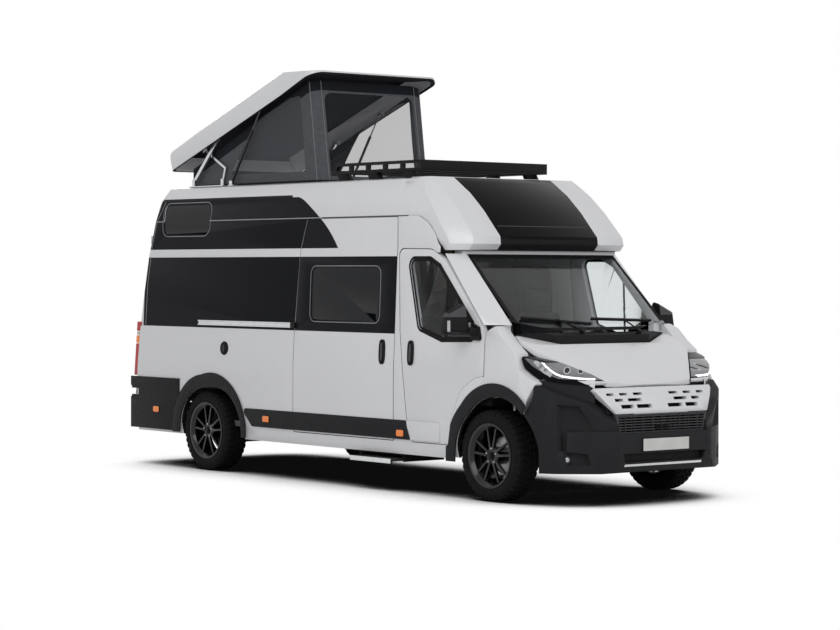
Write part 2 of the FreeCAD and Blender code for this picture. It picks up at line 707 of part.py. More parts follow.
# hood hinge: a pin on each side, on a plate from the post
HOOD_PIVOT = (2325.0, 1312.0)
HOOD_PIN, HOOD_BORE = 5.0, 5.3
hood_plate = box(2200, 2336, cowl_half - 12, cowl_half - 2, 1297, 1324)
hood_pin = rod(Vector(HOOD_PIVOT[0], cowl_half - 8, HOOD_PIVOT[1]),
               Vector(HOOD_PIVOT[0], cowl_half - 44, HOOD_PIVOT[1]), HOOD_PIN)
cab_frame = fuse([pillar, mirrored(pillar), header, scuttle_beam, firewall, post, mirrored(post)] +
                 [q for p in (hood_plate, hood_pin, *hinge_pins) for q in (p, mirrored(p))])
cab_frame = cab_frame.cut(wheelhouse).fuse([tower, mirrored(tower)]).removeSplitter()
sub_part("cab_frame", cab_frame)

scuttle = slab("XZ", [(2270 + seat_gap, 1240), (2270 + seat_gap, 1335), (2395, 1352), (2440, 1330),
                      (2462, 1262), (2440, 1235), (2300, 1235)], 30 - cowl_half, cowl_half - 30)


# --- hood ----------------------------------------------------------------------
HOOD_HALF = cowl_half - 28
HOOD_PLAN = [(2476, -500, 60), (2300, -HOOD_HALF, 30), (2410, -HOOD_HALF - 30, 60),
             (2560, -HOOD_HALF - 12, 80), (2975, -468, 40), (3010, 0, 2600), (2975, 468, 40),
             (2560, HOOD_HALF + 12, 80), (2410, HOOD_HALF + 30, 60), (2300, HOOD_HALF, 30),
             (2476, 500, 60)]
hood_plan = slab("XY", HOOD_PLAN, 800, 1500)
scuttle_gap = slab("XY", grown(HOOD_PLAN, 16), 800, 1500)
scuttle_gap.translate(Vector(-20, 0, 0))
sub_part("scuttle_panel", scuttle.cut(scuttle_gap))
hood_sheet = slab("XZ", [(2260, 1352), (2474, 1262, 200), (2720, 1128, 900), (2960, 992, 100),
                         (3004, 948, 10), (2982, 930), (2930, 968, 60), (2700, 1098, 880),
                         (2460, 1232, 160), (2260, 1318)], -900, 900)
hood_bore = rod(Vector(HOOD_PIVOT[0], cowl_half + 34, HOOD_PIVOT[1]),
                Vector(HOOD_PIVOT[0], cowl_half - 48, HOOD_PIVOT[1]), HOOD_BORE)
hood_eye = box(HOOD_PIVOT[0] - 12, HOOD_PIVOT[0] + 30, cowl_half - 51, cowl_half - 24,
               HOOD_PIVOT[1] - 12, HOOD_PIVOT[1] + 6)
hood = hood_sheet.common(hood_plan).fuse([hood_eye, mirrored(hood_eye)]).cut(
    [hood_bore, mirrored(hood_bore)]).removeSplitter()
sub_part("hood", hood)

# --- fenders, front panel, grille, bumper ----------------------------------------
FRONT_PLAN = [(1500, -1030), (2560, -1030, 200), (2700, -1000, 150), (2880, -905, 200), (3085, -655, 200),
              (3165, -520, 120), (3181.5, 0, 9000), (3165, 520, 120), (3085, 655, 200),
              (2880, 905, 200), (2700, 1000, 150), (2560, 1030, 200), (1500, 1030)]


def plan_points(inset):
    """Outline of the front in plan, moved in by inset."""
    return [(p[0] - (inset if p[0] > 2000 else 0), p[1] - math.copysign(inset, p[1]) if p[1] else 0)
            + tuple(p[2:]) for p in FRONT_PLAN]


def front_plan(inset, z0, z1):
    """Everything inside the front's outline in plan, moved in by inset."""
    return slab("XY", plan_points(inset), z0, z1)


fender_outline = [(2149, 720), (2149, 1345, 10), (2230, 1415, 30), (2300, 1366), (2400, 1272),
                  (2506, 1196), (2520, 1150), (2545, 1080), (2700, 985), (2720, 960), (2640, 830),
                  (2560, 720)]
fender_under = [(2190, 640), (2190, 1300), (2290, 1325), (2420, 1225), (2520, 1100), (2620, 960),
                (2560, 640)]
hood_side = cowl_half + 8
FENDER_SKIN = 30
fender_top = slab("XZ", fender_outline, -1100, -hood_side).cut(
    slab("XZ", fender_under, -side_y + FENDER_SKIN + 20, -700))
fender_leg = [(1693, 330), (1693, 1000), (2149, 1000), (2149, 1345, 10)] + fender_outline[2:-1] + [
    (2515, 330)]
fender_side = slab("XZ", fender_leg, -1100, -hood_side).common(
    section_solid(0, 1600, 2800).cut(section_solid(FENDER_SKIN, 1500, 2900)))
shoulder = slab("YZ", [(-860, 1500), (-1100, 1290), (-1100, 1500)], 2100, 2800)
fender = fender_side.fuse(fender_top).common(section_solid(0, 1600, 2800)).common(
    front_plan(5, 300, 1500)).cut([front_opening, door_hole, shoulder])
fender = max(fender.Solids, key=lambda solid: solid.Volume)
fender_flange = box(2160, 2190, -hood_side - 16, -cowl_half - seat_gap, 950, 1240)
fender = fender.fuse(fender_flange).removeSplitter()
sub_part("fenders", pair(fender))

lamp_outline = [(2512, 1185, 20), (2560, 1092, 30), (2700, 990, 60), (2975, 950, 10), (2988, 972, 10),
                (2900, 1035, 100), (2700, 1135, 200)]
lamp = slab("XZ", lamp_outline, -960, -470).common(front_plan(55, 800, 1300))
lamp_cut = slab("XY", [(2400, -706), (2560, -864), (2975, -482), (2900, -300), (2400, -300)], 800, 1400)
lamp = lamp.cut([lamp_cut, fender, slab("XY", grown(HOOD_PLAN, 6), 800, 1500)])
lamp_tab = box(2522, 2610, -905, -890, 1040, 1130).cut(fender)
lamp = fuse([lamp] + [s for s in lamp_tab.Solids if s.distToShape(lamp)[0] < 1e-6])
sub_part("headlamps", pair(lamp))

front_zone = slab("XZ", [(2985, 908, 10), (3018, 933, 10), (3074, 850, 200), (3136, 728), (3110, 728),
                         (3050, 800), (2994, 856)], -640, 640)
panel_trim = slab("YZ", [(-640, 905), (-500, 724), (500, 724), (640, 905), (640, 960), (-640, 960)],
                  2900, 3300)
# slots a side, row by row: (height, half height, [(centre, half width)])
SLOT_ROWS = [(878, 10, [(196, 50), (352, 44), (496, 40)]),
             (833, 12, [(252, 74), (422, 46)]),
             (782, 15, [(170, 82), (355, 68)])]
slots = [box(2900, 3200, way * middle - wide, way * middle + wide, height - tall, height + tall)
         for height, tall, places in SLOT_ROWS for middle, wide in places for way in (-1, 1)]
front_tab = box(3110, 3126, -300, 300, 722.3, 736)
front_panel = front_zone.common(panel_trim).cut(slots).fuse(front_tab).removeSplitter()
sub_part("front_panel", front_panel)

def grille():
    """Slats and bars in a frame that narrows downwards."""
    made = new_body("grille")
    slat = pad(made, "YZ", [rect("-495", "495", "700", "707")], "3092", "3126")
    row_of(made, [slat], "Z_Axis", "105", 6)
    made.Tip.Reversed = True
    bar = pad(made, "YZ", [rect("-423", "-417", "576", "718")], "3088", "3098")
    row_of(made, [bar], "Y_Axis", "840", 8)
    pocket(made, "YZ", [[("488", "740"), ("458", "560"), ("600", "560"), ("600", "740")],
                        [("-488", "740"), ("-458", "560"), ("-600", "560"), ("-600", "740")]],
           "3060", "3140")
    pad(made, "YZ", [[("-500", "722"), ("-468", "572"), ("468", "572"), ("500", "722")],
                     [("-484", "712"), ("-456", "582"), ("456", "582"), ("484", "712")]],
        "3085", "3130")
    return keep(made)


grille()

bumper_side = [(2560, 262, 30), (2490, 330, 30), (2520, 560, 60), (2700, 835), (2716, 962, 20),
               (3000, 820, 100), (3181, 600, 40), (3190, 420, 60), (3120, 262, 30)]
bumper = slab("XZ", bumper_side, -1100, 1100).common(front_plan(0, 200, 1000))
bumper_core = slab("XZ", [(2400, 280), (2400, 1100), (3300, 1100), (3300, 280)], -1100, 1100).common(
    front_plan(60, 200, 1200))
bumper = bumper.cut(bumper_core)
mouth = slab("YZ", [(-500.8, 724), (-640.8, 905), (-640.8, 1100), (640.8, 1100), (640.8, 905),
                    (500.8, 724), (468.6, 571.7), (-468.6, 571.7)], 2900, 3300)
intake = slab("YZ", [(-430, 345), (-455, 415), (455, 415), (430, 345)], 2900, 3300)
bar_socket = box(3000, 3124 + seat_gap, -430 - seat_gap, 430 + seat_gap,
                 floor_low - size("rail_depth") - seat_gap, floor_low + seat_gap)
# the face leans back above the shelf, and each corner has a recess and a scoop
SHELF_Z, SHELF_STEP, LEAN_TOP_Z = 592, 24, 820
CORNER_RECESS = [(2880, 440), (2932, 440), (2932, 590), (3040, 590), (3022, 691), (2988, 790), (2876, 805)]
FOG_SCOOP = [(2912, 436), (3034, 420), (3052, 330), (2925, 322)]
RECESS_DEPTH, SCOOP_DEPTH = 34, 30
leaning = lofted("XY", [(plan_points(SHELF_STEP), SHELF_Z), (plan_points(-2), LEAN_TOP_Z)])
above_shelf = box(2932, 3300, -1100, 1100, SHELF_Z, LEAN_TOP_Z).cut(leaning)
corner_cuts = []
for outline_, depth in ((CORNER_RECESS, RECESS_DEPTH), (FOG_SCOOP, SCOOP_DEPTH)):
    hollow = slab("XZ", outline_, -1100, -600).cut(front_plan(depth, 200, 1000))
    corner_cuts += [hollow, mirrored(hollow)]
bumper = bumper.cut([mouth, intake, front_opening, bar_socket, above_shelf, *corner_cuts,
                     slab("XZ", grown(lamp_outline, 12), -980, 980)])
plate_seat = box(3150, 3181.5, -size("plate_length") / 2, size("plate_length") / 2,
                 size("plate_z") - size("plate_height") / 2, size("plate_z") + size("plate_height") / 2)
bumper = max(bumper.Solids, key=lambda solid: solid.Volume).fuse(plate_seat).removeSplitter()
sub_part("front_bumper", bumper)

# --- cladding, rear bumper, lamps ------------------------------------------------
flare_front = arch_hull(front_x, 515, 75, 530, 55, -1300, 1300).common(
    box(1500, 3200, -1300, 1300, 300, 1300))
flare_rear = arch_hull(rear_x, 520, 115, 560, -20, -1300, 1300).common(
    box(-3000, -900, -1300, 1300, 335, 1300))
flare_skin = box(-3000, 3000, -side_y - 13, -side_y - seat_gap, 290, 1100)
front_flare = flare_front.cut([front_opening, side_band(grown(DOOR, gap + 2))]).common(flare_skin).cut(
    slab("XZ", [(2700, 200), (2490, 330), (2520, 560), (2700, 835), (2800, 1000), (3200, 1000),
                (3200, 200)], -1300, 1300))
rear_flare = flare_rear.cut(rear_opening).common(flare_skin)
strip = slab("XZ", STRIP, -STRIP_OUT, -STRIP_IN).cut(side_band(grown(DOOR, gap + 4)))
sub_part("cladding", pair(together([front_flare, rear_flare, strip.cut(flare_rear)])))


side_pads = box(-3080, rear_x - 411.5, -side_y - 13, -side_y - seat_gap, 345, 835).cut(
    [flare_rear, rear_opening])
beam = slab("XY", [(-3181.5, -700, 200), (-3150, -940, 80), (-3060, -1038, 40), (-3030, -1038),
                   (-3030, -side_y - seat_gap), (-3092.5, -935), (-3092.5, 935), (-3030, side_y + seat_gap),
                   (-3030, 1038), (-3060, 1038, 40), (-3150, 940, 80), (-3181.5, 700, 200)], 350, 556)
corner_pad = slab("XZ", [(-3070, 556), (-3070, 835), (-3000, 835), (-3000, 556)],
                  -side_y - 13, -side_y - seat_gap)
hinge_room = box(-3200, -2945, -1100, 1100, 640, 745)
sub_part("rear_bumper", fuse([beam, side_pads, mirrored(side_pads), corner_pad, mirrored(corner_pad)]).cut(
    hinge_room))

tail_zone = slab("XZ", [(-3200, 840, 20), (-3150, 1400, 20), (-3008, 1400, 20), (-3040, 840, 20)],
                 -1100, -937)
tail_skin = rear_solid(-10).cut(rear_solid(-seat_gap))
tail_lamp = tail_zone.common(tail_skin)
tail_lamp = max(tail_lamp.Solids, key=lambda solid: solid.Volume)
sub_part("tail_lamps", pair(tail_lamp))

# --- floor, chassis, axles ----------------------------------------------------------
floor_room = section_solid(skin + seat_gap, -3400, 2140).common(rear_solid(skin + seat_gap))
floor_outline = floor_room.common(box(-3400, 2140, -1100, 1100, floor_low, floor_z))
sub_part("floor_pan", floor_outline.cut([
    arch_hull(front_x, 480, 60, 480, 0, -1300, 1300),
    arch_hull(rear_x, 430, 0, 430, 0, -1300, -660), arch_hull(rear_x, 430, 0, 430, 0, 660, 1300)]))

def chassis_frame():
    """Rails, cross members, sills, front subframe and the runners of the step."""
    made = new_body("chassis_frame")
    pad(made, "XZ", [rect("-3092.2", "3070", FLOOR_LOW + " - rail_depth", FLOOR_LOW)],
        "rail_y - rail_width / 2", "rail_y + rail_width / 2")
    mirror_in(made, [made.Tip])
    pad(made, "XZ", [rect(x, x + 60, "340", "400") for x in (-2900, -900, 300, 1500, 2480)],
        "-rail_y", "rail_y")
    sill = pad(made, "XZ", [rect(REAR_AXLE + " + 640", "1690", "sill_z + 12", FLOOR_LOW)],
               "side_y - 160", "side_y - skin - 37.5")
    mirror_in(made, [sill])
    pad(made, "XZ", [rect(x, x + 60, "345", "395") for x in (-900, 1500)],
        "100 - side_y", "side_y - 100")
    pad(made, "XZ", [rect("3040", "3124", FLOOR_LOW + " - rail_depth", FLOOR_LOW)], "-430", "430")
    # front subframe: a plate, an arm to each steering axis and the pivot on it
    pad(made, "XY", [rect("front_axle_x - 200", "front_axle_x + 170", "-rail_y - 35.5", "rail_y + 35.5")],
        "255", FLOOR_LOW + " - rail_depth + 0.5")
    arm = pad(made, "XY", [[("front_axle_x - 190", "rail_y + 35"), ("front_axle_x + 160", "rail_y + 35"),
                            ("front_axle_x + 28", KINGPIN_Y + " - 12"),
                            ("front_axle_x - 28", KINGPIN_Y + " - 12")]], "262", "290")
    pivot = pad(made, "XY", [("front_axle_x", KINGPIN_Y, "16")], "262", "297")
    mirror_in(made, [arm, pivot])
    pad(made, "XY", [rect("2480", "2540", "-330", "-250"), rect("2480", "2540", "150", "230")],
        "390", "engine_base_z - seat_gap")
    pad(made, "XY", [rect("2290", "2350", "-120", "20")], "315", "engine_base_z - seat_gap")
    # runners of the step under the sill
    pad(made, "XY", [rect("step_rear_x - 26", "step_rear_x + step_length + 26", "126 - step_edge_y", "-500")],
        "300", "330")
    pad(made, "XY", [rect("step_rear_x - 26", "step_rear_x - 6", "126 - step_edge_y", "-500"),
                     rect("step_rear_x + step_length + 6", "step_rear_x + step_length + 26",
                          "126 - step_edge_y", "-500")], "step_top_z - 30", "330")
    pad(made, "XY", [rect("step_rear_x - 10", "step_rear_x - seat_gap", "126 - step_edge_y", "-640"),
                     rect("step_rear_x + step_length + seat_gap", "step_rear_x + step_length + 10",
                          "126 - step_edge_y", "-640")], "step_top_z - 17", "step_top_z - 7")
    return keep(made)


def rear_axle():
    """Dropped beam with hubs, brake discs and single leaf springs."""
    made = new_body("rear_axle", REAR_AXLE)
    pad(made, "XZ", [rect("-45", "45", "250", "318")], "195 - half_track", "half_track - 195")
    drop = pad(made, "XZ", [rect("-45", "45", "250", "tyre_radius + 45")],
               "half_track - 255", "half_track - 195")
    hub = pad(made, "XZ", [("0", "tyre_radius", "axle_radius")], "half_track - 205", DISC_Y + " - 1")
    disc = pad(made, "XZ", [("0", "tyre_radius", "disc_radius")], DISC_Y + " - disc_thickness", DISC_Y)
    spring = pad(made, "XZ", [[("-640", "374"), ("0", "317"), ("640", "374"), ("640", "390"),
                               ("0", "356"), ("-640", "390")]], "spring_y - 32", "spring_y + 32")
    hangers = pad(made, "XZ", [rect("-655", "-615", "368", "420"), rect("615", "655", "368", "420")],
                  "rail_y + rail_width / 2", "spring_y + 34")
    mirror_in(made, [drop, hub, disc, spring, hangers])
    return keep(made)


def engine_block():
    """Engine and gearbox as one plain block."""
    made = new_body("engine_block", "front_axle_x + 73.5")
    pad(made, "XY", [rect("0", "engine_length", "-engine_width / 2 - 50", "engine_width / 2 - 50")],
        "engine_base_z", "engine_base_z + engine_height")
    return keep(made)


def knuckle(name, side):
    """Upright, strut and brake that steer with one front wheel; side is -1 right, 1 left."""
    made = new_body("knuckle_" + name, "front_axle_x")
    hub_y = "%d * %s" % (side, KINGPIN_Y)
    strut_y = "%d * (%s - 50)" % (side, KINGPIN_Y)
    pad(made, "XY", [("0", hub_y, "26")], "297.3", "545")
    yoke_y = span(side, KINGPIN_Y + " - 70", KINGPIN_Y + " + 10")
    pad(made, "XY", [rect("-26", "26", *yoke_y)], "520", "575")
    pad(made, "XY", [("0", strut_y, "24")], "520", "strut_top_z - seat_gap")
    pad(made, "XZ", [("0", "tyre_radius", "45")], *span(side, KINGPIN_Y, DISC_Y + " - 1"))
    pad(made, "XZ", [("0", "tyre_radius", "disc_radius")],
        *span(side, DISC_Y + " - disc_thickness", DISC_Y))
    pad(made, "XZ", [rect("-175", "-95", "tyre_radius - 70", "tyre_radius + 70")],
        *span(side, DISC_Y + " - 60", DISC_Y + " + 16"))
    pad(made, "XZ", [rect("-150", "0", "tyre_radius - 20", "tyre_radius + 20")],
        *span(side, KINGPIN_Y + " - 12", KINGPIN_Y + " + 12"))
    pad(made, "XZ", [rect("-175", "-120", "tyre_radius - 20", "tyre_radius + 20")],
        *span(side, KINGPIN_Y + " - 12", DISC_Y + " - 20"))
    return keep(made)


chassis_frame()
rear_axle()
engine_block()
knuckle("right", -1)
knuckle("left", 1)

# --- wheels ---------------------------------------------------------------------------
HALF = "tyre_width / 2"
# half of the tyre's section from the bead to the tread: (inside the sidewall plane, radius)
TYRE_EDGE = [("26", "rim_radius - 30"), ("8", "rim_radius + 12"), ("0", "tyre_radius - 60"),
             ("20", "tyre_radius")]
SPOKE_PAIRS = 5


def wheel(name, axle, side):
    """Tyre and rim of one wheel, outer face away from the centre line."""
    where = (axle, "%d * half_track" % side, "tyre_radius")
    turn = Rotation(Vector(0, 0, 1), 0 if side < 0 else 180)

    tyre = new_body("tyre_" + name, *where, turn)
    street = [("%s - %s" % (inset, HALF), radius) for inset, radius in TYRE_EDGE]
    inner = [("%s - %s" % (HALF, inset), radius) for inset, radius in reversed(TYRE_EDGE)]
    turned(tyre, "YZ", [street + inner], "H_Axis")
    keep(tyre)

    rim = new_body("rim_" + name, *where, turn)
    seat = "rim_radius - 30 - seat_gap"
    turned(rim, "YZ", [[("5 - " + HALF, "rim_radius"), ("12.6 - " + HALF, "rim_radius"),
                        ("25.6 - " + HALF, seat), (HALF + " - 26", seat),
                        (HALF + " - 26", seat + " - rim_wall"), ("32 - " + HALF, seat + " - rim_wall"),
                        ("5 - " + HALF, "rim_radius - 18")]], "H_Axis")
    turned(rim, "YZ", [[("-rim_offset - 4", "0"), ("-rim_offset - 4", "hub_radius - 12"),
                        ("-rim_offset + 6", "hub_radius"), ("hub_face - seat_gap", "hub_radius"),
                        ("hub_face - seat_gap", "0")]], "H_Axis")
    # one pair of spokes, spread from the hub to the barrel, then round the wheel
    spokes = pad(rim, "XZ", [[(3 * way, "50"), (25 * way, "50"),
                              ("%d * (spoke_spread + 8)" % way, seat + " - rim_wall"),
                              ("%d * (spoke_spread - 8)" % way, seat + " - rim_wall")]
                             for way in (-1, 1)], "-rim_offset - 8", "14 - rim_offset")
    ring_of(rim, [spokes], "Y_Axis", SPOKE_PAIRS)
    keep(rim)


WHEELS = [("front_right", "front_axle_x", -1), ("front_left", "front_axle_x", 1),
          ("rear_right", REAR_AXLE, -1), ("rear_left", REAR_AXLE, 1)]
for row in WHEELS:
    wheel(*row)

# --- entry step -------------------------------------------------------------------------
def entry_step():
    """Sliding step: a plate with a deeper edge."""
    made = new_body("entry_step", "step_rear_x")
    pad(made, "YZ", [[("-step_edge_y", "step_top_z - 40"), ("-step_edge_y", "step_top_z"),
                      ("-620", "step_top_z"), ("-620", "step_top_z - step_plate"),
                      ("22 - step_edge_y", "step_top_z - step_plate"),
                      ("22 - step_edge_y", "step_top_z - 40")]], "0", "step_length")
    return keep(made)


entry_step()

# --- cab interior -------------------------------------------------------------------------
dash = slab("XZ", [(1950, 760), (1900, 1010, 40), (1930, 1180, 60), (2010, 1235, 60), (2151.7, 1262),
                   (2151.7, 890), (2100, 890), (2100, 760)], -900, 900)
binnacle = slab("XZ", [(1905, 1150), (1925, 1290, 40), (2100, 1255, 30), (2100, 1150)], 290, 640)

STEER_CENTRE = Vector(1790, 465, 1180)
STEER_TURN = Rotation(Vector(0, 1, 0), -58)


def steering_wheel():
    """Ring, hub and column turned about the wheel's own axis, and three spokes."""
    made = new_body("steering_wheel", STEER_CENTRE.x, STEER_CENTRE.y, STEER_CENTRE.z, STEER_TURN)
    grip = [("steer_radius + steer_grip * %.3f" % math.cos(turn), "steer_grip * %.3f" % math.sin(turn))
            for turn in (math.radians(22.5 + 45 * i) for i in range(8))]
    turned(made, "XZ", [grip], "V_Axis")
    turned(made, "XZ", [[("0", "-190"), ("22", "-190"), ("22", "-50"), ("55", "-50"), ("48", "-10"),
                         ("0", "-8")]], "V_Axis")
    pad(made, "XY", [rect("30", "steer_radius - 6", "-17", "17"),
                     rect("6 - steer_radius", "-30", "-17", "17"),
                     rect("-17", "17", "6 - steer_radius", "-30")], "-22", "-8")
    return keep(made)


steering_wheel()
column_bore = Part.makeCylinder(22.3, 260, Vector(0, 0, -260), Vector(0, 0, 1))
column_bore.Placement = Placement(STEER_CENTRE, STEER_TURN)
dash_ends = box(2110, 2200, -950, 8 - cowl_half, 700, 1400)
sub_part("dashboard", fuse([dash, binnacle]).cut([column_bore, dash_ends, mirrored(dash_ends),
                                                  *hinge_clear]))


def seats():
    """Two cab seats on pedestals and a bench behind the left one."""
    made = new_body("seats")
    for middle in ("seat_y", "-seat_y"):
        pad(made, "XZ", [rect("1180", "1520", "floor_z + seat_gap", "790")],
            middle + " - 190", middle + " + 190")
        pad(made, "XZ", [[("1150", "800"), ("1175", "782"), ("1600", "782"), ("1640", "820"),
                          ("1640", "880"), ("1600", "905"), ("1250", "880"), ("1150", "885")]],
            middle + " - 245", middle + " + 245")
        pad(made, "XZ", [[("1165", "860"), ("1290", "860"), ("1255", "1060"), ("1145", "1440"),
                          ("1110", "1485"), ("1050", "1480"), ("1040", "1440")]],
            middle + " - 240", middle + " + 240")
        pad(made, "XZ", [rect("1060", "1100", "1440", "1540")], middle + " - 60", middle + " + 60")
        pad(made, "XZ", [[("1045", "1510"), ("1070", "1495"), ("1125", "1500"), ("1112", "1650"),
                          ("1085", "1682"), ("1040", "1675"), ("1025", "1640")]],
            middle + " - 140", middle + " + 140")
    pad(made, "XZ", [rect("-380", "140", "floor_z + seat_gap", "900")], "60", "900")
    pad(made, "XZ", [[("-360", "900"), ("-240", "900"), ("-325", "1540"), ("-360", "1560"),
                      ("-430", "1560"), ("-450", "1520")]], "60", "900")
    return keep(made)


def cabinets():
    """Wardrobe with the cupboards over the bed, kitchen, and the bed on its front board."""
    made = new_body("cabinets")
    pad(made, "XZ", [rect(REAR_AXLE + " + 538.5", "-500", "floor_z + seat_gap", "2250")], "420", "900")
    pad(made, "XZ", [rect("-2700", REAR_AXLE + " + 548.5", "2050", "2250")], "560", "850")
    pad(made, "XZ", [rect(REAR_AXLE + " + 498.5", "-560", "floor_z + seat_gap", "1330")], "-915", "-440")
    pad(made, "XZ", [rect("-2900", REAR_AXLE + " + 278.5", "1000", "1080")], "-920", "920")
    pad(made, "XZ", [rect(REAR_AXLE + " + 238.5", REAR_AXLE + " + 278.5", "floor_z + seat_gap", "1000")],
        "-640", "640")
    return keep(made)


seats()
cabinets()


# --- pop-up roof ------------------------------------------------------------------------------
lid_length = size("lid_length")
lid_half = size("lid_half_width")
lid_skin = size("lid_skin")
arm_length = size("arm_length")
arm_y = size("arm_y")
pin_z = roof_z + size("arm_base_lift")
arm_base = Vector(size("arm_base_x"), arm_y, pin_z)
lid_open = math.radians(size("lid_angle"))
ARM_OPEN = math.radians(size("arm_angle"))
arm_top = arm_base + Vector(arm_length * math.cos(ARM_OPEN), 0, arm_length * math.sin(ARM_OPEN))
# pin of the lift arm on the lid: along the rim from its rear end, and above it
PIN_ALONG, PIN_UP = 785.0, 22.0


def lid_point(along, up, y=0.0):
    """Place on the open lid from its rim: distance along, height above."""
    da, du = along - PIN_ALONG, up - PIN_UP
    return Vector(arm_top.x + da * math.cos(lid_open) - du * math.sin(lid_open), y,
                  arm_top.z + da * math.sin(lid_open) + du * math.cos(lid_open))


def on_lid(shape):
    """Shape drawn on a level lid, with its rear lower edge at the origin, put on the open lid."""
    shape = shape.copy()
    shape.Placement = Placement(lid_point(0, 0), Rotation(Vector(0, 1, 0), -size("lid_angle")))
    return shape


def lid_block(inset, floor):
    """Outer form of the lid on a level, moved in by inset, open below floor."""
    rear_d, front_d = size("lid_rear_depth"), size("lid_front_depth")
    side = slab("XZ", [(inset, floor), (inset + 6, rear_d - inset, 45), (1850, front_d - inset, 500),
                       (lid_length - 90 - inset, 60 - inset * 0.7, 40), (lid_length - inset, 34 - inset),
                       (lid_length - inset, floor)], -lid_half, lid_half)
    across = slab("YZ", [(-lid_half + inset, floor), (-lid_half + inset, 40), (-lid_half + 48 + inset,
                         front_d - 18 - inset, 70), (0, front_d + 14 - inset, 3000),
                         (lid_half - 48 - inset, front_d - 18 - inset, 70), (lid_half - inset, 40),
                         (lid_half - inset, floor)], -10, lid_length + 10)
    plan = slab("XY", [(inset, -lid_half + inset, 60), (lid_length - inset, -lid_half + inset, 150),
                       (lid_length + 18 - inset, 0, 4000),
                       (lid_length - inset, lid_half - inset, 150), (inset, lid_half - inset, 60)],
                floor, front_d + 40)
    return side.common(across).common(plan)


lid = lid_block(0, 0).cut(lid_block(lid_skin, -1))
pin_bracket = box(PIN_ALONG - 40, PIN_ALONG + 40, arm_y + 14, lid_half - 15, 6, 62)
strut_along, strut_up = 1531.0, 30.0
strut_bracket = box(strut_along - 30, strut_along + 30, arm_y + 14, lid_half - 15, 6, 62)
pins = [rod(Vector(along, arm_y - 12, up), Vector(along, arm_y + 20, up), 6)
        for along, up in ((PIN_ALONG, PIN_UP),)]
crank_along = 520.0
crank_bracket = box(crank_along - 30, crank_along + 30, arm_y - 26, arm_y - 18, 4, 96).fuse(
    box(crank_along - 30, crank_along + 30, arm_y - 26, lid_half - 30, 90, 96))
lid_flat = fuse([lid] + [q for p in (pin_bracket, strut_bracket, crank_bracket, *pins)
                         for q in (p, mirrored(p))])
sub_part("roof_lid", on_lid(lid_flat))


def lift_arms():
    """Flat arm with a round eye at each pin, on each side."""
    made = new_body("lift_arm_left", "arm_base_x", "arm_y", "roof_z + arm_base_lift",
                    Rotation(Vector(0, 1, 0), -size("arm_angle")))
    half = "arm_thickness / 2"
    pad(made, "XZ", [rect("0", "arm_length", "-arm_width / 2", "arm_width / 2")], "-" + half, half)
    for x in ("0", "arm_length"):
        pad(made, "XZ", [(x, "0", "arm_width / 2 + 1")], "-" + half, half)
    pocket(made, "XZ", [(x, "0", "link_bore") for x in ("0", "arm_length")], "-" + half, half)
    return keep_pair("lift_arms", made)


# crank from its lower pin: (forward, up) along its middle, with a bend at each inner point
CRANK = [(0.0, 0.0), (33.5, 112.0), (-131.5, 200.0), (-291.5, 288.0)]
CRANK_HALF = 11.0


def ribbon(points, half):
    """Corners of a band of constant width along a bent line."""
    sides = []
    for way in (1, -1):
        line = []
        for i, (x, z) in enumerate(points):
            before = Vector(x - points[i - 1][0], z - points[i - 1][1], 0) if i else None
            after = (Vector(points[i + 1][0] - x, points[i + 1][1] - z, 0)
                     if i + 1 < len(points) else None)
            ways = [leg.normalize() for leg in (before, after) if leg]
            mean = (ways[0] + ways[-1]).normalize()
            reach = half / math.cos(mean.getAngle(ways[0]))
            line.append((x - way * mean.y * reach, z + way * mean.x * reach))
        sides.append(line)
    return sides[0] + sides[1][::-1]


def crank_arms():
    """Bent link beside each lift arm."""
    made = new_body("crank_left", "crank_base_x", "arm_y - crank_inset", "roof_z + arm_base_lift")
    pad(made, "XZ", [ribbon(CRANK, CRANK_HALF)], "-7", "7")
    for x, z in (CRANK[0], CRANK[-1]):
        pad(made, "XZ", [(x, z, "14")], "-7", "7")
    pocket(made, "XZ", [(x, z, "link_bore") for x, z in (CRANK[0], CRANK[-1])], "-7", "7")
    return keep_pair("crank_arms", made)


lift_arms()
crank_arms()

strut_base = Vector(size("strut_base_x"), arm_y, roof_z + size("strut_base_lift"))
strut_top = lid_point(strut_along, strut_up, arm_y)
strut_reach = (strut_top - strut_base).Length
strut_turn = Rotation(Vector(0, 1, 0), -math.degrees(math.atan2(strut_top.z - strut_base.z,
                                                                strut_top.x - strut_base.x)))
TUBE_END, ROD_START = 560.0, 210.0


def strut(label, profile, eye_x, eye_radius, bore):
    """Turned body along a strut, with a flat eye at one end, on each side."""
    made = new_body(label + "_left", "strut_base_x", "arm_y", "roof_z + strut_base_lift", strut_turn)
    turned(made, "XZ", [profile], "H_Axis")
    pad(made, "XZ", [(eye_x, "0", eye_radius)], "-8", "8")
    pocket(made, "XZ", [(eye_x, "0", bore)], "-8", "8")
    return keep_pair(label, made)


strut("strut_tubes", [("14", "0"), ("14", "strut_tube_radius"), (TUBE_END, "strut_tube_radius"),
                      (TUBE_END, "strut_tube_radius / 2"), ("26", "strut_tube_radius / 2"),
                      ("26", "0")], "0", "17", "link_bore")
strut("strut_rods", [(ROD_START, "0"), (ROD_START, "strut_tube_radius / 2 - 0.5"),
                     (strut_reach - 12, "strut_tube_radius / 2 - 0.5"), (strut_reach - 12, "0")],
      strut_reach, "15", "8.5")


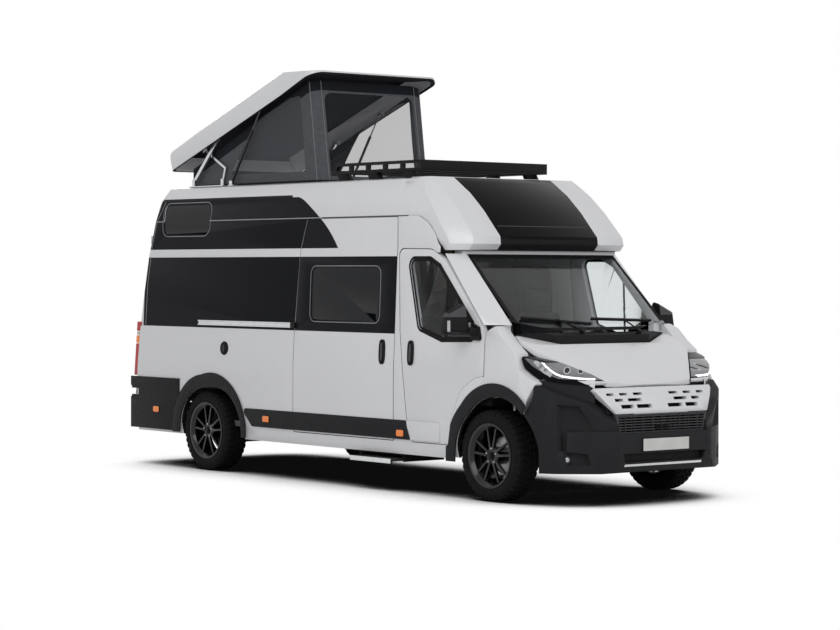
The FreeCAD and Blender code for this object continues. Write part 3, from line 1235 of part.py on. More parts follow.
def lift_brackets():
    """Plates on the roof deck with the ears and pins that carry the links, on each side."""
    made = new_body("lift_bracket_left")
    pad(made, "XY", [rect("arm_base_x - 68", "crank_base_x + 70.5", "arm_y - 42", "arm_y + 22")],
        DECK, DECK + " + 10")
    top = "roof_z + arm_base_lift"
    ears = [("arm_base_x", top, "arm_y + 14", "arm_y + 22", "arm_y - 12"),
            ("crank_base_x", top, "arm_y - crank_inset + 9", "arm_y - crank_inset + 18",
             "arm_y - crank_inset - 8")]
    for x, z, low, high, pin_end in ears:
        pad(made, "XZ", [rect(x + " - 22", x + " + 22", DECK, z + " + 12")], low, high)
        pad(made, "XZ", [(x, z, "link_pin")], pin_end, low + " + 2")
    pad(made, "XY", [rect("strut_base_x - 45", "strut_base_x + 45", "arm_y - 30", "arm_y + 22")],
        DECK, DECK + " + 8")
    pad(made, "XZ", [rect("strut_base_x - 22", "strut_base_x + 22", DECK,
                          "roof_z + strut_base_lift + 12")], "arm_y + 14", "arm_y + 22")
    pad(made, "XZ", [("strut_base_x", "roof_z + strut_base_lift", "link_pin")],
        "arm_y - 10", "arm_y + 16")
    return keep_pair("lift_brackets", made)


lift_brackets()

# --- tent: thin walls between the roof deck and the lid -------------------------------------
tent_skin = size("tent_skin")
TENT_FRONT_TOP = -700


def tent_block(inset, low, high):
    """Wedge under the open lid, moved in by inset."""
    half = tent_half - inset
    rise = math.tan(lid_open)
    start = lid_point(0, 0)

    def top(x):
        return start.z + (x - start.x) * rise + 12 + high

    side = slab("XZ", [(TENT_REAR + inset, roof_z + low), (TENT_FRONT - inset, roof_z + low),
                       (TENT_FRONT_TOP - inset, top(TENT_FRONT_TOP)),
                       (TENT_REAR + inset, top(TENT_REAR))], -half, half)
    plan = slab("XY", [(TENT_REAR + inset, -half, 60), (TENT_FRONT - 260, -half, 60),
                       (TENT_FRONT - inset, -half + 130, 40), (TENT_FRONT - inset, half - 130, 40),
                       (TENT_FRONT - 260, half, 60), (TENT_REAR + inset, half, 60)], roof_z - 10, 3900)
    return side.common(plan)


sub_part("tent", tent_block(0, seat_gap, 0).cut(tent_block(tent_skin, -5, 50)))

# --- roof rack --------------------------------------------------------------------------------
RACK_LOW = "(roof_z + rack_lift)"
RACK_HIGH = "(roof_z + rack_lift + rack_rise)"


def roof_rack():
    """Side rails on posts and feet, cross bars between them and a plate across the front."""
    made = new_body("roof_rack")
    inner, outer = "rack_half_width - rack_tube", "rack_half_width"
    rail = pad(made, "XZ", [[("rack_rear_x", RACK_LOW), ("rack_rear_x + 52", RACK_HIGH + " - 10"),
                             ("rack_rear_x + 68", RACK_HIGH), ("rack_front_x", RACK_HIGH),
                             ("rack_front_x", RACK_HIGH + " - 26"),
                             ("rack_rear_x + 80", RACK_HIGH + " - 26"),
                             ("rack_rear_x + 66", RACK_HIGH + " - 36"),
                             ("rack_rear_x + 40", RACK_LOW)]], inner, outer)
    lower = pad(made, "XZ", [rect("rack_rear_x", "rack_front_x", RACK_LOW, RACK_LOW + " + 26")],
                inner, outer)
    post = pad(made, "XZ", [rect("rack_rear_x + 230", "rack_rear_x + 290", RACK_LOW,
                                 RACK_HIGH + " - 5")], outer + " - 20", outer + " - 5")
    row_of(made, [post], "X_Axis", "rack_front_x - rack_rear_x - 290", 5)
    feet = pad(made, "XZ", [[("rack_rear_x + %d" % (start + u), level) for u, level in
                             ((0, RACK_LOW + " + 2"), (30, DECK), (170, DECK), (130, RACK_LOW + " + 2"))]
                            for start in (60, 490, 990)], outer + " - 60", outer + " - 6")
    mirror_in(made, [rail, lower, feet])
    pad(made, "XZ", [rect("rack_rear_x + 230 + %d * (rack_front_x - rack_rear_x - 290) / 4" % i,
                                  "rack_rear_x + 290 + %d * (rack_front_x - rack_rear_x - 290) / 4" % i,
                                  RACK_LOW, RACK_HIGH + " - 5") for i in range(5)],
                "5 - rack_half_width", "20 - rack_half_width")
    bar = pad(made, "XZ", [rect("rack_rear_x + 50", "rack_rear_x + 110", RACK_LOW, RACK_LOW + " + 30")],
              "rack_tube - 2 - rack_half_width", "rack_half_width - rack_tube + 2")
    row_of(made, [bar], "X_Axis", "rack_front_x - rack_rear_x - 110", 5)
    pad(made, "XZ", [rect("rack_front_x - 14", "rack_front_x", RACK_LOW, RACK_HIGH)],
        "-rack_half_width", "rack_half_width")
    return keep(made)


roof_rack()


def finish():
    """Check every object, then write one file for each sub-part."""
    doc.recompute()
    for obj in doc.Objects:
        if "Invalid" in obj.State or "Error" in obj.State:
            raise RuntimeError("%s failed: %s" % (obj.Label, obj.State))
    os.makedirs("parts", exist_ok=True)
    for feature in PARTS:
        shape = feature.Shape
        if shape.isNull() or not shape.isValid() or not shape.Solids:
            raise RuntimeError("%s has no valid solid" % feature.Label)
        box_ = shape.BoundBox
        print("%-18s solids %2d  volume %8.3f dm3  x %7.0f %7.0f  y %6.0f %6.0f  z %6.0f %6.0f" % (
            feature.Label, len(shape.Solids), shape.Volume / 1e6, box_.XMin, box_.XMax,
            box_.YMin, box_.YMax, box_.ZMin, box_.ZMax))
        shape.exportStep("parts/%s.step" % feature.Label)


finish()
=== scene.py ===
"""Looks of a camper van with a pop-up roof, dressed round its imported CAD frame.

Lengths are metres: +X forward, +Y to the vehicle's left, +Z up, ground at zero.
"""

import json
import logging
import math
from dataclasses import dataclass
from enum import Enum
from typing import Callable, Optional, Sequence

import bmesh
import bpy
from mathutils import Matrix, Vector
from mathutils.bvhtree import BVHTree

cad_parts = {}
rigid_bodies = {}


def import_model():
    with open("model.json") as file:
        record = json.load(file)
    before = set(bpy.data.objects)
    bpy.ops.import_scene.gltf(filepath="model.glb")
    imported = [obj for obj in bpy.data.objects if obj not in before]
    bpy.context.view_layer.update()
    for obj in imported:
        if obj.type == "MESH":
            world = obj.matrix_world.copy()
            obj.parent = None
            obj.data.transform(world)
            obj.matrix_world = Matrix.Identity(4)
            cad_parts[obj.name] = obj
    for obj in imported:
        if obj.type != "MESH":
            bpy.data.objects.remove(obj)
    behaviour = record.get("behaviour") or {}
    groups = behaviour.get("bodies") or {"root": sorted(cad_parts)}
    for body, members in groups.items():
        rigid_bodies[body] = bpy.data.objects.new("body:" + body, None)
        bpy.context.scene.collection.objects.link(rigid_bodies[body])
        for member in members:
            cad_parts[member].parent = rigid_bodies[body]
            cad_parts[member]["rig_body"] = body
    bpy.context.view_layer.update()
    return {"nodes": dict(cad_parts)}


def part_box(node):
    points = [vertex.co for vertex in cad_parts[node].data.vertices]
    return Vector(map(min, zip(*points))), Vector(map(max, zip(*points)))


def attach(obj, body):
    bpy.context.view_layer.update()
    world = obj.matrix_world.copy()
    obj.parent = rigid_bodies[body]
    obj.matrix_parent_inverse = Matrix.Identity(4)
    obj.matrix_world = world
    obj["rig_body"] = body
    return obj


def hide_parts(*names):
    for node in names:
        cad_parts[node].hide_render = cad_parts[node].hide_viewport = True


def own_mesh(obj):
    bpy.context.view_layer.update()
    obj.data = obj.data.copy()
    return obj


log = logging.getLogger("camper_van")
Point2 = tuple[float, float]
Point3 = tuple[float, float, float]

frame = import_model()


# --- finishes ------------------------------------------------------------------
class Grain(Enum):
    """Kinds of surface detail."""

    PAINT = "paint"
    PLASTIC = "plastic"
    RUBBER = "rubber"
    METAL = "metal"
    CLOTH = "cloth"
    WOOD = "wood"
    GLASS = "glass"


@dataclass(frozen=True)
class Finish:
    """One surface finish.

    Args:
        name: Name of the material.
        slot: Material slot of the record that it stands for; not used.
        colour: Base colour, linear.
        rough: Roughness.
        grain: Kind of surface detail.
        metal: Metallic share.
        coat: Weight of the clear coat.
        shine: Specular level.
        bump: Strength of the surface detail.
        scale: Size of the detail, in cells per metre.
        vary: How far the colour varies.
        clear: Transmission weight.
        alpha: Opacity.
        glow: Emission strength.
    """

    name: str
    slot: str
    colour: Point3
    rough: float = 0.5
    grain: Grain = Grain.PLASTIC
    metal: float = 0.0
    coat: float = 0.0
    shine: float = 0.5
    bump: float = 0.1
    scale: float = 600.0
    vary: float = 0.06
    clear: float = 0.0
    alpha: float = 1.0
    glow: float = 0.0

    def material(self) -> bpy.types.Material:
        """Blender material of this finish, made once.

        Returns:
            The material.
        """
        made = bpy.data.materials.get("look_" + self.name)
        if made is not None:
            return made
        made = bpy.data.materials.new("look_" + self.name)
        made.use_nodes = True
        tree = made.node_tree
        shader = tree.nodes["Principled BSDF"]
        sockets = shader.inputs
        sockets["Metallic"].default_value = self.metal
        sockets["Coat Weight"].default_value = self.coat
        sockets["Coat Roughness"].default_value = 0.04
        sockets["Specular IOR Level"].default_value = self.shine
        sockets["Transmission Weight"].default_value = self.clear
        sockets["Alpha"].default_value = self.alpha
        if self.glow:
            sockets["Emission Color"].default_value = (*self.colour, 1)
            sockets["Emission Strength"].default_value = self.glow
        place = tree.nodes.new("ShaderNodeTexCoord").outputs["Object"]

        def noise(scale: float, detail: float = 3.0) -> bpy.types.NodeSocket:
            """Noise on the object's own coordinates."""
            node = tree.nodes.new("ShaderNodeTexNoise")
            node.inputs["Scale"].default_value = scale
            node.inputs["Detail"].default_value = detail
            tree.links.new(place, node.inputs["Vector"])
            return node.outputs["Fac"]

        def ramp(source: bpy.types.NodeSocket, low: float, high: float) -> bpy.types.NodeSocket:
            """Source stretched to a range of values."""
            node = tree.nodes.new("ShaderNodeMapRange")
            node.inputs["From Min"].default_value = 0.3
            node.inputs["From Max"].default_value = 0.7
            node.inputs["To Min"].default_value = low
            node.inputs["To Max"].default_value = high
            tree.links.new(source, node.inputs["Value"])
            return node.outputs["Result"]

        tint = tree.nodes.new("ShaderNodeMix")
        tint.data_type = "RGBA"
        dark = tuple(c * (1 - self.vary) for c in self.colour)
        light = tuple(min(1.0, c * (1 + self.vary)) for c in self.colour)
        tint.inputs["A"].default_value = (*dark, 1)
        tint.inputs["B"].default_value = (*light, 1)
        tree.links.new(ramp(noise(6.0 if self.grain is Grain.PAINT else 25.0), 0, 1),
                       tint.inputs["Factor"])
        tree.links.new(tint.outputs["Result"], sockets["Base Color"])
        if self.grain is Grain.GLASS:
            sockets["Roughness"].default_value = self.rough
            sockets["IOR"].default_value = 1.22 if self.clear else 1.5
        else:
            tree.links.new(ramp(noise(40.0), self.rough * 0.9, self.rough * 1.1),
                           sockets["Roughness"])
            relief = tree.nodes.new("ShaderNodeBump")
            relief.inputs["Strength"].default_value = self.bump
            relief.inputs["Distance"].default_value = 0.001
            tree.links.new(self._height(tree, place, noise), relief.inputs["Height"])
            tree.links.new(relief.outputs["Normal"], sockets["Normal"])
        return made

    def _height(self, tree: bpy.types.NodeTree, place: bpy.types.NodeSocket,
                noise: Callable[..., bpy.types.NodeSocket]) -> bpy.types.NodeSocket:
        """Height pattern of the surface detail.

        Args:
            tree: Node tree that it is made in.
            place: Coordinates.
            noise: Maker of a noise pattern.

        Returns:
            Socket with the height.
        """
        if self.grain is Grain.CLOTH:
            weave = tree.nodes.new("ShaderNodeTexWave")
            weave.bands_direction = "Z"
            cross = tree.nodes.new("ShaderNodeTexWave")
            cross.bands_direction = "X"
            both = tree.nodes.new("ShaderNodeMath")
            for node, port in ((weave, 0), (cross, 1)):
                node.inputs["Scale"].default_value = self.scale
                tree.links.new(place, node.inputs["Vector"])
                tree.links.new(node.outputs["Fac"], both.inputs[port])
            return both.outputs["Value"]
        if self.grain is Grain.PLASTIC:
            cells = tree.nodes.new("ShaderNodeTexVoronoi")
            cells.inputs["Scale"].default_value = self.scale
            tree.links.new(place, cells.inputs["Vector"])
            return cells.outputs["Distance"]
        if self.grain is Grain.WOOD:
            rings = tree.nodes.new("ShaderNodeTexWave")
            rings.inputs["Scale"].default_value = 6.0
            rings.inputs["Distortion"].default_value = 4.0
            tree.links.new(place, rings.inputs["Vector"])
            return rings.outputs["Fac"]
        return noise(self.scale, 4.0)


WHITE = Finish("white_paint", "paint_white", (0.72, 0.725, 0.745), 0.32, Grain.PAINT, coat=0.3,
               bump=0.02, scale=300, vary=0.008)
SEAL = Finish("seam_rubber", "black_plastic", (0.01, 0.01, 0.011), 0.7, Grain.RUBBER, shine=0.1)
CLADDING = Finish("grained_cladding", "cladding_grey", (0.013, 0.0135, 0.015), 0.6, shine=0.15, bump=0.35,
                  scale=900)
GLOSS = Finish("gloss_black", "gloss_black", (0.004, 0.004, 0.005), 0.18, Grain.PAINT, shine=0.05,
               bump=0.01, vary=0.02)
BLACK = Finish("black_plastic", "black_plastic", (0.006, 0.006, 0.007), 0.5, shine=0.12, bump=0.25,
               scale=1100)
SATIN = Finish("satin_cap", "black_plastic", (0.05, 0.051, 0.055), 0.42, shine=0.3, bump=0.1, scale=900)
FILM = Finish("charcoal_film", "black_plastic", (0.0085, 0.009, 0.0115), 0.4, Grain.PAINT, shine=0.05,
              bump=0.02, scale=500, vary=0.03)
STRIPE = Finish("pale_stripe", "paint_white", (0.33, 0.335, 0.345), 0.5, Grain.PAINT, bump=0.01,
                shine=0.2)
LINE = Finish("dark_line", "black_plastic", (0.07, 0.07, 0.075), 0.6, Grain.PAINT, shine=0.1)
PLATE = Finish("blank_plate", "paint_white", (0.62, 0.62, 0.61), 0.4, Grain.PAINT, bump=0.02, shine=0.2)
TINTED = Finish("tinted_glass", "window_glass", (0.005, 0.006, 0.008), 0.06, Grain.GLASS, shine=0.16,
                vary=0.02, alpha=0.94)
CLEAR = Finish("clear_glass", "screen_glass", (0.86, 0.89, 0.89), 0.01, Grain.GLASS, clear=1.0,
               shine=0.25, vary=0.01)
CAB_GLASS = Finish("cab_glass", "window_glass", (0.78, 0.80, 0.81), 0.01, Grain.GLASS, clear=1.0,
                   vary=0.01)
LENS = Finish("lamp_lens", "lamp_lens", (0.5, 0.51, 0.53), 0.12, Grain.PAINT, coat=0.4, vary=0.2)
LAMP = Finish("lamp_body", "lamp_lens", (0.13, 0.133, 0.142), 0.25, Grain.PAINT, coat=0.5, vary=0.35)
GLOW = Finish("light_line", "lamp_lens", (0.95, 0.96, 1.0), 0.3, Grain.PAINT, glow=0.9, bump=0.0,
              vary=0.0)
RED = Finish("red_lens", "red_lens", (0.5, 0.012, 0.012), 0.12, Grain.PAINT, coat=0.15, shine=0.3,
             bump=0.02)
AMBER = Finish("amber_lens", "red_lens", (0.85, 0.2, 0.01), 0.2, Grain.PAINT, coat=0.3, bump=0.02,
               glow=0.12)
TYRE = Finish("tyre_rubber", "tyre_rubber", (0.007, 0.007, 0.008), 0.75, Grain.RUBBER, shine=0.1,
              bump=0.3, scale=500, vary=0.15)
RIM = Finish("rim_gloss", "rim_black", (0.003, 0.003, 0.004), 0.16, Grain.PAINT, shine=0.35,
             bump=0.01)
CHASSIS = Finish("chassis_paint", "chassis_steel", (0.008, 0.008, 0.009), 0.7, Grain.PAINT, shine=0.15,
                 bump=0.2, scale=200, vary=0.2)
STEEL = Finish("bare_steel", "bare_steel", (0.3, 0.3, 0.31), 0.34, Grain.METAL, metal=1.0, bump=0.1,
               scale=300)
IRON = Finish("engine_iron", "engine_grey", (0.1, 0.1, 0.1), 0.6, Grain.METAL, metal=0.4, bump=0.4,
              scale=250)
LINING = Finish("cab_lining", "inner_grey", (0.018, 0.019, 0.021), 0.6, shine=0.2, bump=0.3, scale=800)
SEAT = Finish("seat_cloth", "seat_cloth", (0.016, 0.017, 0.02), 0.85, Grain.CLOTH, shine=0.2, bump=0.4,
              scale=300)
WOOD = Finish("cabinet_wood", "cabinet_wood", (0.3, 0.24, 0.17), 0.5, Grain.WOOD, bump=0.05, vary=0.15)
VINYL = Finish("floor_vinyl", "floor_vinyl", (0.06, 0.055, 0.05), 0.55, bump=0.2, scale=400)
ALLOY = Finish("clear_alloy", "silver_arm", (0.6, 0.61, 0.62), 0.3, Grain.METAL, metal=1.0, bump=0.06,
               scale=350)
CHROME = Finish("mirror_glass", "silver_arm", (0.75, 0.76, 0.78), 0.04, Grain.METAL, metal=1.0,
                bump=0.0, vary=0.01)
STEP = Finish("step_alloy", "step_metal", (0.05, 0.05, 0.052), 0.5, Grain.METAL, metal=0.6, bump=0.2,
              scale=400)
STRUT = Finish("strut_black", "strut_black", (0.008, 0.008, 0.009), 0.35, Grain.PAINT, coat=0.1,
               shine=0.3)
TENT = Finish("tent_cloth", "tent_cloth", (0.10, 0.103, 0.112), 0.9, Grain.CLOTH, shine=0.15, bump=0.5,
              scale=420, vary=0.1)
# dark cloth of the tent's band, seams, hem and the lid's underside; in the band under the lid it also stands
# for the lid's shadow, painted in
BAND = Finish("tent_band", "tent_cloth", (0.014, 0.015, 0.02), 0.9, Grain.CLOTH, shine=0.15, bump=0.5,
              scale=420, vary=0.1)
MESH = Finish("tent_mesh", "tent_cloth", (0.17, 0.175, 0.19), 0.9, Grain.CLOTH, shine=0.1, bump=0.4,
              scale=600, alpha=0.45)
PANE = Finish("tent_pane", "window_glass", (0.1, 0.105, 0.12), 0.15, Grain.PAINT, shine=0.3, alpha=0.14)
QUILT = Finish("quilt_cloth", "seat_cloth", (0.12, 0.12, 0.125), 0.9, Grain.CLOTH, shine=0.1, bump=0.4,
               scale=300)
PIPING = Finish("tent_piping", "tent_cloth", (0.2, 0.205, 0.215), 0.8, Grain.CLOTH, shine=0.2)

# finish of each CAD node, and the width of its rounded edges
DRESS: dict[str, tuple[Finish, float]] = {
    "side_wall_right": (WHITE, 0.004), "side_wall_left": (WHITE, 0.004),
    "sliding_door": (WHITE, 0.004), "side_windows": (TINTED, 0.0),
    "door_right": (WHITE, 0.004), "door_left": (WHITE, 0.004),
    "door_glass_right": (CAB_GLASS, 0.0), "door_glass_left": (CAB_GLASS, 0.0),
    "mirror_right": (BLACK, 0.008), "mirror_left": (BLACK, 0.008),
    "rear_door_right": (WHITE, 0.004), "rear_door_left": (WHITE, 0.004),
    "rear_glass_right": (TINTED, 0.0), "rear_glass_left": (TINTED, 0.0),
    "roof_shell": (WHITE, 0.006), "nose_panel": (GLOSS, 0.002), "windscreen": (CLEAR, 0.0),
    "cab_frame": (WHITE, 0.003), "scuttle_panel": (BLACK, 0.003), "hood": (WHITE, 0.006),
    "fenders": (WHITE, 0.006), "headlamps": (GLOSS, 0.003), "front_panel": (WHITE, 0.004),
    "grille": (SATIN, 0.001), "front_bumper": (CLADDING, 0.006), "cladding": (CLADDING, 0.004),
    "rear_bumper": (CLADDING, 0.006), "tail_lamps": (RED, 0.003), "floor_pan": (VINYL, 0.0),
    "chassis_frame": (CHASSIS, 0.002), "rear_axle": (CHASSIS, 0.002), "engine_block": (IRON, 0.01),
    "knuckle_right": (STEEL, 0.001), "knuckle_left": (STEEL, 0.001), "entry_step": (STEP, 0.003),
    "steering_wheel": (BLACK, 0.0), "dashboard": (LINING, 0.008), "seats": (SEAT, 0.02),
    "cabinets": (WOOD, 0.003), "roof_lid": (WHITE, 0.005), "lift_arms": (ALLOY, 0.002),
    "crank_arms": (ALLOY, 0.002), "strut_tubes": (STRUT, 0.0), "strut_rods": (STEEL, 0.0),
    "lift_brackets": (ALLOY, 0.001), "tent": (TENT, 0.0), "roof_rack": (BLACK, 0.003),
    "tyre_front_right": (TYRE, 0.0), "tyre_front_left": (TYRE, 0.0), "tyre_rear_right": (TYRE, 0.0),
    "tyre_rear_left": (TYRE, 0.0), "rim_front_right": (RIM, 0.002), "rim_front_left": (RIM, 0.002),
    "rim_rear_right": (RIM, 0.002), "rim_rear_left": (RIM, 0.002),
}

# nodes that other pieces stand for
REPLACED = ("tent", "tyre_front_right", "tyre_front_left", "tyre_rear_right", "tyre_rear_left")


# --- mesh tools ------------------------------------------------------------------
def body_of(node: str) -> str:
    """Name of the body that a CAD node rides on."""
    return frame["nodes"][node]["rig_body"]


def settle(obj: bpy.types.Object, finish: Finish, body: str, smooth: float = 32.0,
           replaces: Sequence[str] = ()) -> bpy.types.Object:
    """Gives a piece its material, shading and body.

    Args:
        obj: The piece.
        finish: Its finish.
        body: Body that it rides on.
        smooth: Edges flatter than this many degrees are shaded smooth.
        replaces: CAD nodes that it stands for.

    Returns:
        The piece.
    """
    if not obj.data.materials:
        obj.data.materials.append(finish.material())
    obj.data.shade_smooth()
    obj.data.set_sharp_from_angle(angle=math.radians(smooth))
    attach(obj, body)
    if replaces:
        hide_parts(*replaces)
    log.info("piece %s on %s", obj.name, body)
    return obj


def new_object(name: str, mesh: bpy.types.Mesh) -> bpy.types.Object:
    """Object at the origin for a mesh."""
    obj = bpy.data.objects.new(name, mesh)
    bpy.context.scene.collection.objects.link(obj)
    return obj


def applied(obj: bpy.types.Object) -> bpy.types.Object:
    """Same object with its modifiers turned into plain mesh."""
    graph = bpy.context.evaluated_depsgraph_get()
    mesh = bpy.data.meshes.new_from_object(obj.evaluated_get(graph))
    obj.modifiers.clear()
    old = obj.data
    obj.data = mesh
    bpy.data.meshes.remove(old)
    return obj


def from_bmesh(name: str, work: bmesh.types.BMesh) -> bpy.types.Object:
    """Object made of a finished bmesh."""
    mesh = bpy.data.meshes.new(name)
    work.to_mesh(mesh)
    work.free()
    return new_object(name, mesh)


@dataclass(frozen=True)
class View:
    """Plane that outlines are drawn in, seen against its outward direction.

    Args:
        across: First direction of the plane.
        up: Second direction of the plane.
        out: Direction that the painted faces look in.
    """

    across: Vector
    up: Vector
    out: Vector

    def walls(self, outline: Sequence[Point2]) -> list[tuple[Vector, Vector]]:
        """Planes through the edges of a convex outline, facing outwards.

        Args:
            outline: Corners of the outline.

        Returns:
            A point and a normal for each edge.
        """
        ends = list(zip(outline, (*outline[1:], outline[0])))
        area = sum(p[0] * q[1] - q[0] * p[1] for p, q in ends)
        way = 1.0 if area > 0 else -1.0
        return [(self.across * p[0] + self.up * p[1],
                 (self.across * (q[1] - p[1]) - self.up * (q[0] - p[0])) * way) for p, q in ends]


UP = Vector((0, 0, 1))
DIAGONAL = math.sqrt(0.5)
RIGHT = View(Vector((1, 0, 0)), UP, Vector((0, -1, 0)))
LEFT = View(Vector((1, 0, 0)), UP, Vector((0, 1, 0)))
FRONT = View(Vector((0, 1, 0)), UP, Vector((1, 0, 0)))
REAR = View(Vector((0, 1, 0)), UP, Vector((-1, 0, 0)))
LAMP_VIEWS = [View(Vector((DIAGONAL, -side * DIAGONAL, 0)), UP, Vector((DIAGONAL, side * DIAGONAL, 0)))
              for side in (-1, 1)]


def rounded(points: Sequence[tuple[float, ...]], steps: int = 5) -> list[Point2]:
    """Outline whose corners with a third value are rounded to that radius."""
    out: list[Point2] = []
    for i, point in enumerate(points):
        corner = Vector(point[:2])
        if len(point) < 3:
            out.append(tuple(corner))
            continue
        before, after = Vector(points[i - 1][:2]), Vector(points[(i + 1) % len(points)][:2])
        to, away = (before - corner).normalized(), (after - corner).normalized()
        half = to.angle(away) / 2
        reach = point[2] / math.tan(half)
        centre = corner + (to + away).normalized() * point[2] / math.sin(half)
        start, end = corner + to * reach - centre, corner + away * reach - centre
        first = math.atan2(start.y, start.x)
        sweep = (math.atan2(end.y, end.x) - first + math.pi) % math.tau - math.pi
        for k in range(steps + 1):
            angle = first + sweep * k / steps
            out.append((centre.x + point[2] * math.cos(angle), centre.y + point[2] * math.sin(angle)))
    return out


def ribbon(points: Sequence[Point2], width: float) -> list[list[Point2]]:
    """Convex outlines of a line of the given width through the points."""
    parts = []
    for p, q in zip(points, points[1:]):
        start, end = Vector(p), Vector(q)
        along = (end - start).normalized() * width / 2
        side = Vector((-along.y, along.x))
        start, end = start - along * 0.6, end + along * 0.6
        parts.append([tuple(start - side), tuple(end - side), tuple(end + side), tuple(start + side)])
    return parts


def table_value(table: Sequence[Point2], place: float) -> float:
    """Value of a table of places and values, straight between its rows."""
    for (a, low), (b, high) in zip(table, table[1:]):
        if place <= b:
            return low + (high - low) * (place - a) / (b - a)
    return table[-1][1]


def box_outline(low: Point2, high: Point2) -> list[Point2]:
    """Rectangle between two corners."""
    return [low, (high[0], low[1]), high, (low[0], high[1])]


def refined(node: str, finish: Finish, bevel: float) -> bpy.types.Object:
    """Copy of a CAD node with clean faces and rounded edges, which stands for it.

    Args:
        node: Name of the node.
        finish: Finish of the copy.
        bevel: Width of the rounded edges.

    Returns:
        The copy.
    """
    work = bmesh.new()
    work.from_mesh(frame["nodes"][node].data)
    bmesh.ops.remove_doubles(work, verts=work.verts, dist=2e-5)
    if bevel:
        bmesh.ops.dissolve_limit(work, angle_limit=math.radians(0.6), verts=work.verts,
                                 edges=work.edges)
    obj = from_bmesh(node + "_skin", work)
    obj.data.materials.clear()
    obj.data.materials.append(finish.material())
    if bevel:
        edge = obj.modifiers.new("Bevel", "BEVEL")
        edge.width = bevel
        edge.segments = 2
        edge.limit_method = "ANGLE"
        edge.angle_limit = math.radians(28)
        edge.harden_normals = False
        applied(obj)
    work = bmesh.new()
    work.from_mesh(obj.data)
    bmesh.ops.triangulate(work, faces=work.faces[:])
    work.to_mesh(obj.data)
    work.free()
    return settle(obj, finish, body_of(node), replaces=[node])


def repaint(node: str, finish: Finish, chosen: Callable[[bpy.types.MeshPolygon], bool]) -> None:
    """Gives the chosen faces of a dressed node a second finish."""
    mesh = bpy.data.objects[node + "_skin"].data
    mesh.materials.append(finish.material())
    last = len(mesh.materials) - 1
    for face in mesh.polygons:
        if chosen(face):
            face.material_index = last


class Painter:
    """Cuts films and stripes out of the outer faces of dressed nodes."""

    def __init__(self, view: View, nodes: Sequence[str], steep: float = 0.9) -> None:
        """Keeps the faces that look outwards.

        Args:
            view: Plane of the outlines.
            nodes: Nodes painted on, all on one body.
            steep: Least cosine between a face and the outward direction.
        """
        self.view, self.body = view, body_of(nodes[0])
        work = bmesh.new()
        for node in nodes:
            work.from_mesh(bpy.data.objects[node + "_skin"].data)
        work.normal_update()
        bmesh.ops.delete(work, geom=[f for f in work.faces if f.normal.dot(view.out) < steep],
                         context="FACES")
        self.source = bpy.data.meshes.new("painted_faces")
        work.to_mesh(self.source)
        work.free()

    def cut(self, name: str, outlines: Sequence[Sequence[Point2]], finish: Finish,
            lift: float = 0.0006) -> Optional[bpy.types.Object]:
        """Film inside the outlines, lifted off the surface.

        Args:
            name: Name of the piece.
            outlines: Convex outlines in the view's plane.
            finish: Finish of the film.
            lift: Height above the surface.

        Returns:
            The film, or None where nothing lies inside.
        """
        total = bmesh.new()
        for outline in outlines:
            work = bmesh.new()
            work.from_mesh(self.source)
            for spot, normal in self.view.walls(outline):
                bmesh.ops.bisect_plane(work, geom=work.verts[:] + work.edges[:] + work.faces[:],
                                       plane_co=spot, plane_no=normal, clear_outer=True, dist=1e-6)
            part = bpy.data.meshes.new("part")
            work.to_mesh(part)
            work.free()
            total.from_mesh(part)
            bpy.data.meshes.remove(part)
        if not total.faces:
            total.free()
            return None
        total.normal_update()
        for vert in total.verts:
            vert.co += vert.normal * lift
        obj = from_bmesh(name, total)
        obj.data.materials.clear()
        return settle(obj, finish, self.body)


class Probe:
    """Finds places on the surfaces of dressed nodes."""

    def __init__(self, *nodes: str) -> None:
        """Builds the search tree of the nodes."""
        work = bmesh.new()
        for node in nodes:
            work.from_mesh(bpy.data.objects[node + "_skin"].data)
        work.normal_update()
        self.tree = BVHTree.FromBMesh(work)
        work.free()
        self.body = body_of(nodes[0])

    def hit(self, start: Vector, way: Vector) -> tuple[Vector, Vector]:
        """Place and normal where a ray from the start meets the nodes."""
        spot, normal, _, _ = self.tree.ray_cast(start, way)
        if spot is None:
            raise ValueError("no surface at %s" % (tuple(start),))
        return spot, normal

    def side(self, x: float, z: float, side: int) -> tuple[Vector, Vector]:
        """Place on the right (-1) or left (1) side."""
        return self.hit(Vector((x, side * 3.0, z)), Vector((0, -side, 0)))

    def front(self, y: float, z: float) -> tuple[Vector, Vector]:
        """Place on the front."""
        return self.hit(Vector((6.0, y, z)), Vector((-1, 0, 0)))


@dataclass(frozen=True)
class Boss:
    """Oval or squarish piece built up of rings above a surface.

    Args:
        half: Half width and half height of its outline.
        rings: Inset from the outline and height above the surface, ring by ring.
        finish: Its finish.
        power: 2 for an ellipse, more for a squarer outline.
        sides: Corners of each ring.
    """

    half: Point2
    rings: Sequence[Point2]
    finish: Finish
    power: float = 2.0
    sides: int = 40

    def build(self, name: str, spot: Vector, out: Vector, body: str, up: Vector = UP) -> bpy.types.Object:
        """Makes the piece.

        Args:
            name: Name of the piece.
            spot: Point on the surface under its middle.
            out: Direction away from the surface.
            body: Body that it rides on.
            up: Direction of its height.

        Returns:
            The piece.
        """
        out = out.normalized()
        across = up.cross(out).normalized()
        rise = out.cross(across)
        work = bmesh.new()
        loops = []
        for inset, height in self.rings:
            loop = []
            for k in range(self.sides):
                angle = math.tau * k / self.sides
                c, s = math.cos(angle), math.sin(angle)
                u = (self.half[0] - inset) * math.copysign(abs(c) ** (2 / self.power), c)
                v = (self.half[1] - inset) * math.copysign(abs(s) ** (2 / self.power), s)
                loop.append(work.verts.new(spot + across * u + rise * v + out * height))
            loops.append(loop)
        for low, high in zip(loops, loops[1:]):
            for k in range(self.sides):
                j = (k + 1) % self.sides
                work.faces.new((low[k], low[j], high[j], high[k]))
        work.faces.new(loops[-1])
        work.faces.new(loops[0][::-1])
        return settle(from_bmesh(name, work), self.finish, body)


